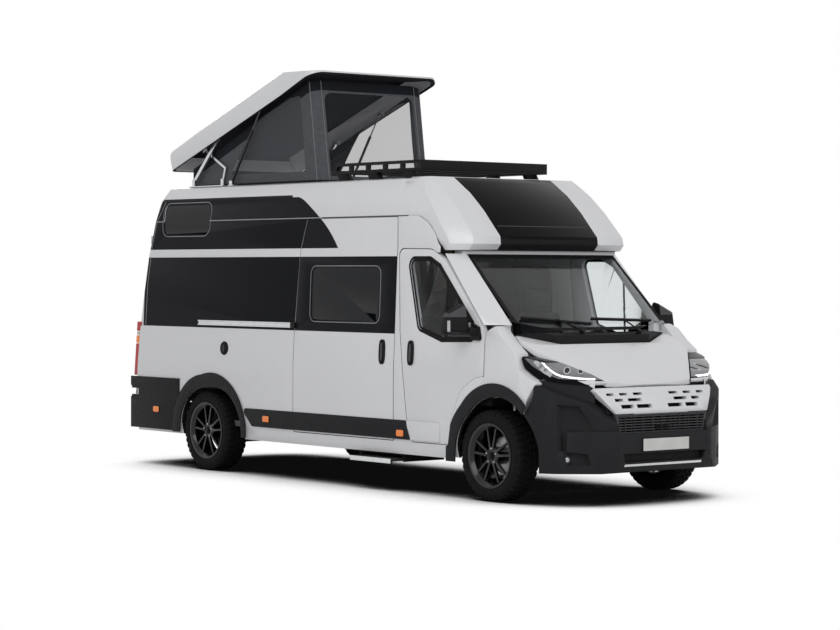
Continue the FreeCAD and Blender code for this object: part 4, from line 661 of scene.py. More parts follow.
def revolved(name: str, profile: Sequence[Point2], centre: Vector, axis: Vector, finish: Finish,
             body: str, sides: int = 96, closed: bool = False,
             replaces: Sequence[str] = ()) -> bpy.types.Object:
    """Piece turned about an axis.

    Args:
        name: Name of the piece.
        profile: Radius and place along the axis, point by point.
        centre: Origin of the profile.
        axis: Direction of the axis.
        finish: Its finish.
        body: Body that it rides on.
        sides: Steps round the axis.
        closed: Whether the profile is a loop.
        replaces: CAD nodes that it stands for.

    Returns:
        The piece.
    """
    axis = axis.normalized()
    across = axis.orthogonal().normalized()
    other = axis.cross(across)
    work = bmesh.new()
    rings = [[work.verts.new(centre + axis * along + across * (radius * math.cos(math.tau * k / sides))
                             + other * (radius * math.sin(math.tau * k / sides)))
              for k in range(sides)] for radius, along in profile]
    pairs = list(zip(rings, rings[1:])) + ([(rings[-1], rings[0])] if closed else [])
    for low, high in pairs:
        for k in range(sides):
            j = (k + 1) % sides
            work.faces.new((low[k], low[j], high[j], high[k]))
    if not closed:
        work.faces.new(rings[0][::-1])
        work.faces.new(rings[-1])
    bmesh.ops.recalc_face_normals(work, faces=work.faces)
    return settle(from_bmesh(name, work), finish, body, replaces=replaces)


def tube(name: str, points: Sequence[Vector], radius: float, finish: Finish, body: str,
         closed: bool = False, soft: bool = False) -> bpy.types.Object:
    """Round bar through the points.

    Args:
        name: Name of the piece.
        points: Its centre line.
        radius: Its radius.
        finish: Its finish.
        body: Body that it rides on.
        closed: Whether it is a ring.
        soft: Whether the line is smooth between the points.

    Returns:
        The piece.
    """
    data = bpy.data.curves.new(name, "CURVE")
    data.dimensions = "3D"
    data.bevel_depth = radius
    data.bevel_resolution = 3
    data.use_fill_caps = True
    line = data.splines.new("NURBS" if soft else "POLY")
    line.points.add(len(points) - 1)
    for place, point in zip(line.points, points):
        place.co = (*point, 1.0)
    line.use_cyclic_u = closed
    if soft:
        line.order_u = 3
        line.use_endpoint_u = True
    curve = bpy.data.objects.new(name, data)
    bpy.context.scene.collection.objects.link(curve)
    graph = bpy.context.evaluated_depsgraph_get()
    mesh = bpy.data.meshes.new_from_object(curve.evaluated_get(graph))
    bpy.data.objects.remove(curve)
    bpy.data.curves.remove(data)
    obj = new_object(name, mesh)
    return settle(obj, finish, body)


def bar(name: str, section: Sequence[Point2], start: Vector, end: Vector, out: Vector, finish: Finish,
        body: str, bevel: float = 0.0) -> bpy.types.Object:
    """Straight bar with a drawn section.

    Args:
        name: Name of the piece.
        section: Its section: across the bar, and outwards.
        start: One end of its centre line.
        end: The other end.
        out: Outward direction of the section.
        finish: Its finish.
        body: Body that it rides on.
        bevel: Width of its rounded edges.

    Returns:
        The piece.
    """
    along = (end - start).normalized()
    out = (out - along * out.dot(along)).normalized()
    across = out.cross(along)
    work = bmesh.new()
    rings = [[work.verts.new(point + across * u + out * v) for u, v in section] for point in (start, end)]
    count = len(section)
    for k in range(count):
        j = (k + 1) % count
        work.faces.new((rings[0][k], rings[0][j], rings[1][j], rings[1][k]))
    work.faces.new(rings[0][::-1])
    work.faces.new(rings[1])
    bmesh.ops.recalc_face_normals(work, faces=work.faces)
    obj = from_bmesh(name, work)
    if bevel:
        edge = obj.modifiers.new("Bevel", "BEVEL")
        edge.width, edge.segments = bevel, 2
        edge.limit_method = "ANGLE"
        applied(obj)
    return settle(obj, finish, body)


class Copier:
    """Geometry Nodes group that repeats a mesh in a row or round a centre."""

    INPUTS = (("Count", "NodeSocketInt"), ("Centre", "NodeSocketVector"), ("Step", "NodeSocketVector"),
              ("Turn", "NodeSocketVector"), ("Finish", "NodeSocketMaterial"))

    def group(self) -> bpy.types.NodeTree:
        """Node group, made once."""
        tree = bpy.data.node_groups.get("copies")
        if tree is not None:
            return tree
        tree = bpy.data.node_groups.new("copies", "GeometryNodeTree")
        tree.interface.new_socket("Geometry", in_out="INPUT", socket_type="NodeSocketGeometry")
        for name, kind in self.INPUTS:
            tree.interface.new_socket(name, in_out="INPUT", socket_type=kind)
        tree.interface.new_socket("Geometry", in_out="OUTPUT", socket_type="NodeSocketGeometry")
        add, link = tree.nodes.new, tree.links.new
        given = add("NodeGroupInput").outputs
        index = add("GeometryNodeInputIndex").outputs["Index"]

        def scaled(vector: bpy.types.NodeSocket, by: Optional[bpy.types.NodeSocket] = None,
                   value: float = -1.0) -> bpy.types.NodeSocket:
            """Vector times a field or a value."""
            node = add("ShaderNodeVectorMath")
            node.operation = "SCALE"
            node.inputs["Scale"].default_value = value
            link(vector, node.inputs[0])
            if by is not None:
                link(by, node.inputs["Scale"])
            return node.outputs["Vector"]

        place = add("ShaderNodeVectorMath")
        link(given["Centre"], place.inputs[0])
        link(scaled(given["Step"], index), place.inputs[1])
        points = add("GeometryNodePoints")
        link(given["Count"], points.inputs["Count"])
        link(place.outputs["Vector"], points.inputs["Position"])
        home = add("GeometryNodeTransform")
        link(given["Geometry"], home.inputs["Geometry"])
        link(scaled(given["Centre"]), home.inputs["Translation"])
        copies = add("GeometryNodeInstanceOnPoints")
        link(points.outputs["Points"], copies.inputs["Points"])
        link(home.outputs["Geometry"], copies.inputs["Instance"])
        link(scaled(given["Turn"], index), copies.inputs["Rotation"])
        real = add("GeometryNodeRealizeInstances")
        link(copies.outputs["Instances"], real.inputs["Geometry"])
        paint = add("GeometryNodeSetMaterial")
        link(real.outputs["Geometry"], paint.inputs["Geometry"])
        link(given["Finish"], paint.inputs["Material"])
        link(paint.outputs["Geometry"], add("NodeGroupOutput").inputs["Geometry"])
        return tree

    def repeat(self, obj: bpy.types.Object, finish: Finish, body: str, count: int,
               centre: Vector = Vector((0, 0, 0)), step: Vector = Vector((0, 0, 0)),
               turn: Vector = Vector((0, 0, 0))) -> bpy.types.Object:
        """Turns the object into that many copies of itself.

        Args:
            obj: The first of them.
            finish: Their finish.
            body: Body that they ride on.
            count: How many.
            centre: Point that they turn about.
            step: Move from each to the next.
            turn: Turn from each to the next, in radians.

        Returns:
            The object.
        """
        tree = self.group()
        modifier = obj.modifiers.new("copies", "NODES")
        modifier.node_group = tree
        keys = {item.name: item.identifier for item in tree.interface.items_tree
                if item.in_out == "INPUT"}
        values = {"Count": count, "Centre": centre, "Step": step, "Turn": turn,
                  "Finish": finish.material()}
        for name, value in values.items():
            modifier[keys[name]] = value
        applied(obj)
        return settle(obj, finish, body)


COPIER = Copier()


def block_mesh(name: str, low: Point3, high: Point3, bevel: float) -> bpy.types.Object:
    """Rounded block between two corners, without finish."""
    work = bmesh.new()
    bmesh.ops.create_cube(work, size=1.0)
    for vert in work.verts:
        vert.co = Vector([low[i] + (high[i] - low[i]) * (vert.co[i] + 0.5) for i in range(3)])
    bmesh.ops.bevel(work, geom=work.edges[:], offset=bevel, segments=3, profile=0.6,
                    affect="EDGES")
    return from_bmesh(name, work)


# --- sides -------------------------------------------------------------------------
@dataclass(frozen=True)
class SideArt:
    """Films, lines and fittings of one side.

    Args:
        side: -1 on the right, 1 on the left.
        upper: Outline of the upper film.
        low_band: Lowest and highest point of the lower film.
        rear_line: Pale line near the rear edge.
        gutter: Height of the line between wall and roof.
    """

    side: int
    upper: tuple = ((-2.853, 2.045), (-2.704, 2.522), (-0.50, 2.519, 0.55), (-0.02, 2.24, 1.2),
                    (0.15, 2.044))
    low_band: Point2 = (1.322, 1.971)
    rear_line: tuple = ((-2.86, 1.322), (-2.847, 1.729), (-2.805, 2.051), (-2.752, 2.294),
                        (-2.645, 2.506))
    gutter: float = 2.31
    rings: tuple = (("high_window", ((-2.628, 2.168, 0.09), (-2.660, 2.483, 0.09), (-1.844, 2.483, 0.09),
                                     (-1.844, 2.168, 0.09))),
                    ("side_window", ((-0.226, 1.405, 0.07), (-0.226, 1.890, 0.07), (0.766, 1.890, 0.07),
                                     (0.766, 1.405, 0.07))))

    @property
    def tag(self) -> str:
        """right or left."""
        return "right" if self.side < 0 else "left"

    @property
    def view(self) -> View:
        """View of this side."""
        return RIGHT if self.side < 0 else LEFT

    def build(self) -> None:
        """Everything on this side."""
        self.films()
        self.fittings()

    def films(self) -> None:
        """Charcoal films with their pale lines."""
        wall = "side_wall_" + self.tag
        walls = [wall] + (["sliding_door"] if self.side < 0 else [])
        upper = rounded(self.upper)
        every = Painter(self.view, [*walls, "roof_shell"])
        slope = Painter(self.view, ["roof_shell"], steep=0.78)
        every.cut("upper_film_" + self.tag, [upper], FILM)
        slope.cut("upper_film_edge_" + self.tag,
                  [[(-2.711, 2.4985), (-0.60, 2.4985), (-0.62, 2.519), (-2.704, 2.522)]], FILM)
        low, high = self.low_band
        rear = [box_outline((-2.9, low), (0.5 if self.side < 0 else 1.0, high))]
        Painter(self.view, [wall]).cut("lower_film_" + self.tag, rear, FILM)
        if self.side < 0:
            door = Painter(self.view, ["sliding_door"], steep=0.8)
            door.cut("door_film", [box_outline((-0.6, low), (1.2, high))], FILM)
            for name, back, front in (("upper", (-0.388, 2.045), (-0.300, 2.40)),
                                      ("lower", (-0.443, low), (-0.397, high))):
                door.cut("door_line_" + name, ribbon([back, front], 0.006), STRIPE, 0.0012)
        pale = ribbon(self.rear_line[:2], 0.007) + ribbon(self.rear_line[2:], 0.007)
        pale += ribbon([self.rear_line[1], (-2.806, low + 0.649)], 0.007)
        pale += ribbon([(-2.78, self.gutter), (-0.13, self.gutter)], 0.008)
        every.cut("pale_lines_" + self.tag, pale, STRIPE, 0.0012)
        for name, outline in self.rings:
            ring = rounded(outline)
            Painter(self.view, [*walls, "roof_shell"], steep=0.7).cut(
                "%s_ring_%s" % (name, self.tag), ribbon(ring + ring[:2], 0.006), STRIPE, 0.0014)
        # dark line along the seam of wall and roof on the white part: painted shade of the gap
        every.cut("gutter_shade_line_" + self.tag, ribbon([(-0.12, self.gutter), (1.088, self.gutter)], 0.009),
                  LINE, 0.0012)

    def fittings(self) -> None:
        """Handles, markers, filler cap and sliding rail."""
        handle = Boss((0.040, 0.104), ((0, -0.004), (0, 0.009), (0.005, 0.013), (0.013, 0.012),
                                       (0.018, 0.003)), BLACK, 3.2)
        grip = Boss((0.013, 0.078), ((0, 0.002), (0, 0.015), (0.005, 0.019)), SATIN, 3.0, 28)
        places = [("door_" + self.tag, 1.2035, 1.167)]
        if self.side < 0:
            places.append(("sliding_door", 0.8195, 1.167))
        for node, x, z in places:
            spot, out = Probe(node).side(x, z, self.side)
            handle.build("handle_" + node, spot, out, body_of(node))
            grip.build("grip_" + node, spot, out, body_of(node))
        lamp = Boss((0.047, 0.027), ((0, -0.004), (0, 0.006), (0.004, 0.010)), AMBER, 7.0)
        base = Boss((0.053, 0.033), ((0, -0.006), (0, 0.003), (0.003, 0.004)), BLACK, 7.0)
        trim = Probe("cladding", "rear_bumper")
        for number, (x, z) in enumerate(((-2.6305, 0.533), (-0.8455, 0.521), (1.082, 0.495))):
            spot, out = trim.side(x, z, self.side)
            base.build("marker_base_%s_%d" % (self.tag, number), spot, out, "body")
            lamp.build("marker_%s_%d" % (self.tag, number), spot, out, "body")
        if self.side > 0:
            return
        wall = Probe("side_wall_right")
        spot, out = wall.side(-1.5215, 1.138, -1)
        Boss((0.0625, 0.0625), ((0, -0.002), (0, 0.005), (0.007, 0.008), (0.013, 0.003), (0.016, 0.003),
                                (0.019, 0.009), (0.045, 0.009)), BLACK).build("filler_cap", spot, out, "body")
        Boss((0.007, 0.030), ((0, 0.008), (0, 0.013), (0.002, 0.015)), SATIN, 4.0, 20).build(
            "filler_grip", spot, out, "body")
        ends = [wall.side(x, 1.367, -1)[0] for x in (-1.957, -0.462)]
        bar("sliding_rail", [(-0.023, -0.004), (-0.023, 0.012), (-0.013, 0.012), (-0.010, 0.003),
                             (0.010, 0.003), (0.013, 0.012), (0.023, 0.012), (0.023, -0.004)],
            *ends, wall.side(-1.2, 1.367, -1)[1], ALLOY, "body", 0.001)
        Boss((0.035, 0.026), ((0, 0), (0, 0.014), (0.004, 0.017)), BLACK, 5.0, 28).build(
            "rail_carrier", ends[1] + Vector((0.0, 0, 0.0)), Vector((0, -1, 0)), "body")


# --- front ---------------------------------------------------------------------------
class FrontFace:
    """Nose panel lines, windscreen band, wipers, lamps, grille parts and blank plate."""

    LAMP_FILL = [(1.135, 1.160), (1.30, 1.150), (1.537, 1.122), (1.66, 1.07), (1.755, 0.992),
                 (1.41, 1.003), (1.29, 1.045), (1.20, 1.10)]
    LIGHT_LINE = [(1.272, 1.138), (1.307, 1.100), (1.345, 1.069), (1.388, 1.041), (1.434, 1.024),
                  (1.522, 1.0115), (1.615, 1.001), (1.687, 0.997)]
    REFLECTOR = [(1.228, 1.134), (1.262, 1.095), (1.300, 1.062), (1.345, 1.035)]
    PROJECTORS = [(1.472, 1.068, 0.027), (1.575, 1.060, 0.023)]
    SILL = [(1.46, 0.993), (1.60, 0.989), (1.79, 0.978), (1.79, 0.94), (1.70, 0.93), (1.623, 0.962)]
    BROW_LOW = [(1.2, 0.90), (1.31, 0.91), (1.42, 0.87), (1.54, 0.83), (1.66, 0.79), (1.83, 0.75)]
    BROW_LINE = [(1.2, 0.985), (1.37, 1.0), (1.498, 0.987), (1.623, 0.964), (1.69, 0.925), (1.83, 0.925)]
    BROW_TOP = [(1.2, 0.986), (1.37, 1.001), (1.83, 0.985)]
    BROW_OUT = [(1.2, 2.545), (1.27, 2.565), (1.39, 2.585), (1.58, 2.572), (1.68, 2.556), (1.74, 2.538)]
    # where the brow starts and how long it is, the height that its outward places hold at, and its lean
    BROW_SPAN = (1.20, 0.49)
    BROW_MIDDLE = 0.95
    BROW_LEAN = 0.06

    def build(self) -> None:
        """Everything at the front."""
        self.nose()
        self.screen()
        self.headlamps()
        self.brow()
        self.intake()
        self.plate()
        self.fog_lamps()

    def nose(self) -> None:
        """Thin line and darker band low on the nose panel."""
        art = Painter(FRONT, ["nose_panel"], steep=0.2)
        art.cut("nose_line", ribbon([(-0.50, 2.221), (0.50, 2.221)], 0.006), LINE)
        art.cut("nose_band", [box_outline((-0.6, 1.95), (0.6, 2.112))], SEAL)

    def screen(self) -> None:
        """Black edge of the windscreen, and two wipers."""
        art = Painter(FRONT, ["windscreen"], steep=0.3)
        bands = [((-0.9, 1.951), (0.9, 2.1)), ((-0.9, 1.3), (0.9, 1.392)),
                 ((-0.9, 1.3), (-0.792, 2.1)), ((0.792, 1.3), (0.9, 2.1))]
        art.cut("screen_band", [box_outline(*band) for band in bands], SEAL)
        glass = Probe("windscreen")
        for name, low, high, foot in (("right", (-0.74, 1.462), (-0.06, 1.405), (-0.20, 1.345)),
                                      ("left", (-0.02, 1.447), (0.66, 1.425), (0.42, 1.335))):
            ends = [glass.front(*p) for p in (low, high)]
            rail = [spot + normal * 0.016 for spot, normal in ends]
            out = ends[0][1]
            bar("wiper_blade_" + name, [(-0.002, -0.015), (0.002, -0.015), (0.004, 0.004), (0.009, 0.010),
                                        (-0.009, 0.010), (-0.004, 0.004)], *rail, out, BLACK, "body")
            middle = rail[0].lerp(rail[1], 0.5) + out * 0.012
            pivot = Probe("scuttle_panel").front(*foot)[0] + Vector((0.004, 0, 0.018))
            tube("wiper_arm_" + name, [pivot, pivot.lerp(middle, 0.5) + out * 0.014, middle], 0.007, BLACK,
                 "body", soft=True)
            Boss((0.022, 0.022), ((0, -0.03), (0, 0.012), (0.006, 0.016)), BLACK, 2.0, 24).build(
                "wiper_pivot_" + name, pivot, out, "body", Vector((0, 1, 0)))

    def headlamps(self) -> None:
        """Grey inside, light line, reflector and projectors of each headlamp."""
        for view, tag in zip(LAMP_VIEWS, ("right", "left")):
            art = Painter(view, ["headlamps"], steep=0.3)
            art.cut("lamp_inside_" + tag, [self.LAMP_FILL], LAMP, 0.0006)
            art.cut("reflector_" + tag, ribbon(self.REFLECTOR, 0.036), LENS, 0.0010)
            art.cut("light_line_" + tag, ribbon(self.LIGHT_LINE, 0.014), GLOW, 0.0016)
            art.cut("lamp_sill_" + tag, [self.SILL], WHITE, 0.0008)
            for number, (u, v, radius) in enumerate(self.PROJECTORS):
                for part, share, finish, lift in (("ring", 1.0, LENS, 0.0012), ("eye", 0.72, GLOSS, 0.0018)):
                    circle = [(u + radius * share * math.cos(a), v + radius * share * math.sin(a))
                              for a in (math.tau * k / 20 for k in range(20))]
                    art.cut("projector_%s_%s_%d" % (part, tag, number), [circle], finish, lift)

    def brow(self) -> None:
        """Panel between headlamp, bumper and front panel: dark below its line, white above."""
        start, length = self.BROW_SPAN
        for view, tag in zip(LAMP_VIEWS, ("right", "left")):
            for name, finish, low, high in (("dark", CLADDING, self.BROW_LOW, self.BROW_LINE),
                                            ("white", WHITE, self.BROW_LINE, self.BROW_TOP)):
                work = bmesh.new()
                grid = []
                for k in range(31):
                    u = start + length * k / 30
                    bottom = table_value(low, u)
                    top = max(table_value(high, u), bottom + 0.001)
                    grid.append([work.verts.new(self.brow_point(view, u, bottom + (top - bottom) * r / 3))
                                 for r in range(4)])
                for a, b in zip(grid, grid[1:]):
                    for r in range(3):
                        work.faces.new((a[r], b[r], b[r + 1], a[r + 1]))
                panel = from_bmesh("brow_%s_%s" % (name, tag), work)
                thick = panel.modifiers.new("Thick", "SOLIDIFY")
                thick.thickness, thick.offset = 0.004, 0.0
                applied(panel)
                closed = bmesh.new()
                closed.from_mesh(panel.data)
                bmesh.ops.recalc_face_normals(closed, faces=closed.faces)
                closed.to_mesh(panel.data)
                closed.free()
                settle(panel, finish, "body")

    def brow_point(self, view: View, u: float, height: float) -> Vector:
        """Point of the brow panel, which leans back with its height."""
        out = table_value(self.BROW_OUT, u) - (height - self.BROW_MIDDLE) * self.BROW_LEAN
        return view.across * u + UP * height + view.out * out

    def intake(self) -> None:
        """Dark sheet behind the front panel's slot, painted shade of the space behind it; radiator fins, and
        the sensor box.
        """
        # dark sheet behind the slot under the hood: painted shade in place of the space behind
        bar("slot_shade_sheet", [(0.905, 2.985), (0.85, 2.985), (0.795, 3.044), (0.728, 3.098), (0.728, 3.090),
                             (0.79, 3.034), (0.845, 2.975), (0.905, 2.975)],
            Vector((0, -0.56, 0)), Vector((0, 0.56, 0)), Vector((1, 0, 0)), SEAL, "body")
        bar("radiator_core", [(0.560, 3.050), (0.725, 3.050), (0.725, 3.058), (0.560, 3.058)],
            Vector((0, -0.53, 0)), Vector((0, 0.53, 0)), Vector((1, 0, 0)), SEAL, "body", 0.002)
        fin = block_mesh("radiator_fins", (3.058, -0.460, 0.565), (3.068, -0.4585, 0.720), 0.0004)
        COPIER.repeat(fin, CHASSIS, "body", 93, step=Vector((0, 0.01, 0)))
        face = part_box("grille")[1][0]
        divider = block_mesh("grille_dividers", (face - 0.010, -0.4015, 0.570),
                             (face + 0.002, -0.3985, 0.718), 0.0005)
        COPIER.repeat(divider, SATIN, "body", 9, step=Vector((0, 0.1, 0)))
        sensor = block_mesh("sensor_box", (3.098, -0.072, 0.598), (3.131, 0.072, 0.636), 0.005)
        settle(sensor, GLOSS, "body")

    def plate(self) -> None:
        """Blank plate in its frame, and the bright strip under the intake."""
        art = Painter(FRONT, ["front_bumper"], steep=0.9)
        low = Painter(FRONT, ["front_bumper"], steep=0.25)
        art.cut("plate_frame", [box_outline((-0.262, 0.424), (0.262, 0.536))], BLACK, 0.0002)
        art.cut("number_plate_blank", [box_outline((-0.252, 0.432), (0.252, 0.528))], PLATE, 0.0005)
        low.cut("bright_strip", ribbon([(-0.42, 0.322), (0.42, 0.322)], 0.018), ALLOY, 0.002)

    def fog_lamps(self) -> None:
        """Small round fog lamp in each corner scoop."""
        for side, tag in ((-1, "right"), (1, "left")):
            way = Vector((0.62, side * 0.78, 0)).normalized()
            spot, _ = Probe("front_bumper").hit(Vector((2.925, side * 0.832, 0.372)) + way, -way)
            Boss((0.026, 0.026), ((0, -0.01), (0, 0.010), (0.004, 0.012), (0.006, 0.008)), SATIN, 2.0,
                 32).build("fog_ring_" + tag, spot, way, "body")
            Boss((0.018, 0.018), ((0, 0.004), (0, 0.009), (0.006, 0.012), (0.013, 0.013)), LENS, 2.0,
                 32).build("fog_lens_" + tag, spot, way, "body")


@dataclass(frozen=True)
class WheelHouse:
    """Dark liner over a steered front wheel.

    Args:
        side: -1 on the right, 1 on the left.
        hub: Place of the hub along the vehicle, and its height.
        radius: Inner radius of the liner.
        across: Inner and outer end from the middle of the vehicle.
        strut: Inner and outer edge of the opening round the strut.
        opening: Half of that opening, in degrees of the arc.
        wall: Lowest point of its inner wall.
        lip: Farthest that the wing's lip reaches from the hub.
    """

    side: int
    hub: Point2 = (2.1965, 0.3685)
    radius: float = 0.458
    across: Point2 = (0.54, 0.90)
    strut: Point2 = (0.695, 0.776)
    opening: float = 10.0
    wall: float = 0.56
    lip: float = 0.53

    def build(self) -> None:
        """Arc over the wheel with an opening for the strut, and the wall inside it."""
        tag = "right" if self.side < 0 else "left"
        inner, outer = self.across
        low, high = self.strut
        for name, near, far, first, last in (("inner", inner, low, 14, 166), ("outer", high, outer, 14, 166),
                                             ("front", low, high, 14, 90 - self.opening),
                                             ("back", low, high, 90 + self.opening, 166)):
            shell = self.arc(self.radius, first, last) + self.arc(self.radius + 0.004, first, last)[::-1]
            self.across_bar("wheel_liner_%s_%s" % (name, tag), shell, near, far)
        first = math.degrees(math.asin((self.wall - self.hub[1]) / self.radius))
        self.across_bar("wheel_wall_" + tag, self.arc(self.radius, first, 180 - first), inner - 0.004, inner)

    def arc(self, radius: float, first: float, last: float) -> list[Point2]:
        """Points of an arc round the hub, as heights and places along the vehicle."""
        angles = [math.radians(first + (last - first) * k / 24) for k in range(25)]
        return [(self.hub[1] + radius * math.sin(a), self.hub[0] + radius * math.cos(a)) for a in angles]

    def across_bar(self, name: str, section: Sequence[Point2], near: float, far: float) -> None:
        """Bar of the given section between two distances from the middle of the vehicle."""
        ends = sorted((self.side * near, self.side * far))
        bar(name, section, Vector((0, ends[0], 0)), Vector((0, ends[1], 0)), Vector((1, 0, 0)), SEAL, "body")

    def is_lip(self, face: bpy.types.MeshPolygon) -> bool:
        """Whether a face of the wing is part of its lip round the wheel, and looks at the wheel."""
        x, z = self.hub[0] - face.center.x, self.hub[1] - face.center.z
        return math.hypot(x, z) < self.lip and face.normal.x * x + face.normal.z * z > 0.25


# --- doors, glass and lamps --------------------------------------------------------------
class Openings:
    """Black edges of the panes, mirrors and tail lamps."""

    DOOR_WINDOW = ((1.300, 1.372, 0.06), (1.142, 1.950, 0.06), (1.420, 1.950, 0.09), (1.545, 1.890, 0.04),
                   (1.985, 1.430, 0.02), (1.985, 1.295, 0.02), (1.600, 1.285, 0.04))

    def build(self) -> None:
        """Everything at the panes."""
        for side, tag, view in ((-1, "right", RIGHT), (1, "left", LEFT)):
            self.pane("door_glass_" + tag, view, 0.022)
            self.pane("rear_glass_" + tag, REAR, 0.03)
            rubber = rounded(self.DOOR_WINDOW)
            Painter(view, ["door_" + tag], steep=0.5).cut(
                "door_rubber_" + tag, ribbon(rubber + rubber[:2], 0.040), SEAL, 0.0012)
            self.mirror(side, tag, view)
            Painter(view, ["door_glass_" + tag], steep=0.7).cut(
                "door_bar_" + tag, ribbon([(1.6465, 1.2), (1.6465, 2.0)], 0.026), SEAL, 0.0012)
            self.tail_lamp(side, tag)
        Painter(RIGHT, ["entry_step"], steep=0.6).cut("step_edge", [box_outline((0.43, 0.2), (0.99, 0.3))],
                                                     ALLOY, 0.0008)
        self.rear_details()

    @staticmethod
    def tail_lamp(side: int, tag: str) -> None:
        """Lens wrapped round the rear corner, with its amber and clear parts."""
        skin = abs(Probe("side_wall_" + tag).side(-2.985, 1.1, side)[0].y)
        blocks = (("red", 0.842, 1.148, RED, 0.0), ("turn", 1.152, 1.226, AMBER, 0.0),
                  ("back", 1.230, 1.262, LENS, -0.002), ("top", 1.266, 1.358, RED, 0.0))
        for name, low, high, finish, out in blocks:
            near, far = sorted((side * 0.938, side * (skin + 0.014 + out)))
            piece = block_mesh("tail_%s_%s" % (name, tag), (-3.067 - out, near, low),
                               (-2.972, far, high), 0.009)
            for vert in piece.data.vertices:
                vert.co.x += (vert.co.z - 0.842) * 0.106
            settle(piece, finish, "body")
        # filled above and below the space that the hinge of the rear door turns in
        near, far = sorted((side * 0.945, side * 1.036))
        for name, low, high in (("low", 0.640, 0.660), ("high", 0.720, 0.745)):
            fill = block_mesh("bumper_fill_%s_%s" % (name, tag), (-3.066, near, low),
                              (-2.944, far, high), 0.002)
            settle(fill, CLADDING, "body")
        for node in ("rear_door_" + tag, "side_wall_" + tag):
            repaint(node, BLACK, lambda face: face.center.x < -2.84 and abs(face.center.y) > 0.84 and min(
                abs(face.center.z - z) for z in (0.69, 2.14)) < 0.026)

    @staticmethod
    def rear_details() -> None:
        """Handle and plate of the rear doors, and the brake lamp over them."""
        door = Probe("rear_door_right")
        spot, out = door.hit(Vector((-4.0, -0.085, 1.12)), Vector((1, 0, 0)))
        Boss((0.030, 0.105), ((0, -0.004), (0, 0.009), (0.005, 0.014), (0.012, 0.013)), BLACK, 3.2).build(
            "rear_handle", spot, out, body_of("rear_door_right"))
        spot, out = Probe("rear_door_left").hit(Vector((-4.0, 0.42, 1.02)), Vector((1, 0, 0)))
        Boss((0.268, 0.064), ((0, -0.003), (0, 0.006), (0.004, 0.008)), BLACK, 9.0).build(
            "rear_plate_frame", spot, out, body_of("rear_door_left"))
        Boss((0.258, 0.054), ((0, 0.004), (0, 0.009), (0.002, 0.010)), PLATE, 9.0).build(
            "rear_plate_blank", spot, out, body_of("rear_door_left"))

    def pane(self, node: str, view: View, width: float, finish: Finish = SEAL) -> None:
        """Edge of another finish round a pane."""
        art = Painter(view, [node], steep=0.7)
        work = bmesh.new()
        work.from_mesh(art.source)
        bmesh.ops.remove_doubles(work, verts=work.verts, dist=1e-5)
        ring = bmesh.ops.inset_region(work, faces=work.faces[:], thickness=width,
                                       use_boundary=True, use_even_offset=True)
        rim = set(ring["faces"])
        inside = [face for face in work.faces if face not in rim]
        bmesh.ops.delete(work, geom=inside, context="FACES")
        work.normal_update()
        for vert in work.verts:
            vert.co += vert.normal * 0.0006
        settle(from_bmesh(node + "_edge", work), finish, body_of(node))

    def mirror(self, side: int, tag: str, view: View) -> None:
        """Satin cap, clear indicator and two panes of a mirror."""
        node = "mirror_" + tag
        cap = [box_outline((1.7, 1.478), (2.3, 1.7))]
        Painter(view, [node], steep=0.45).cut("mirror_cap_side_" + tag, cap, SATIN, 0.0008)
        low, high = sorted((side * 1.07, side * 1.4))
        face = [box_outline((low, 1.478), (high, 1.7))]
        Painter(FRONT, [node], steep=0.45).cut("mirror_cap_front_" + tag, face, SATIN, 0.0008)
        lamp = [box_outline((1.955, 1.362), (1.992, 1.45))]
        Painter(view, [node], steep=0.6).cut("mirror_lamp_" + tag, lamp, LENS, 0.0012)
        panes = (box_outline((1.10, 1.425), (1.228, 1.562)), box_outline((1.10, 1.368), (1.228, 1.415)))
        glass = [[(side * y, z) for y, z in outline] for outline in panes]
        Painter(REAR, [node], steep=0.5).cut("mirror_glass_" + tag, glass, CHROME, 0.0012)


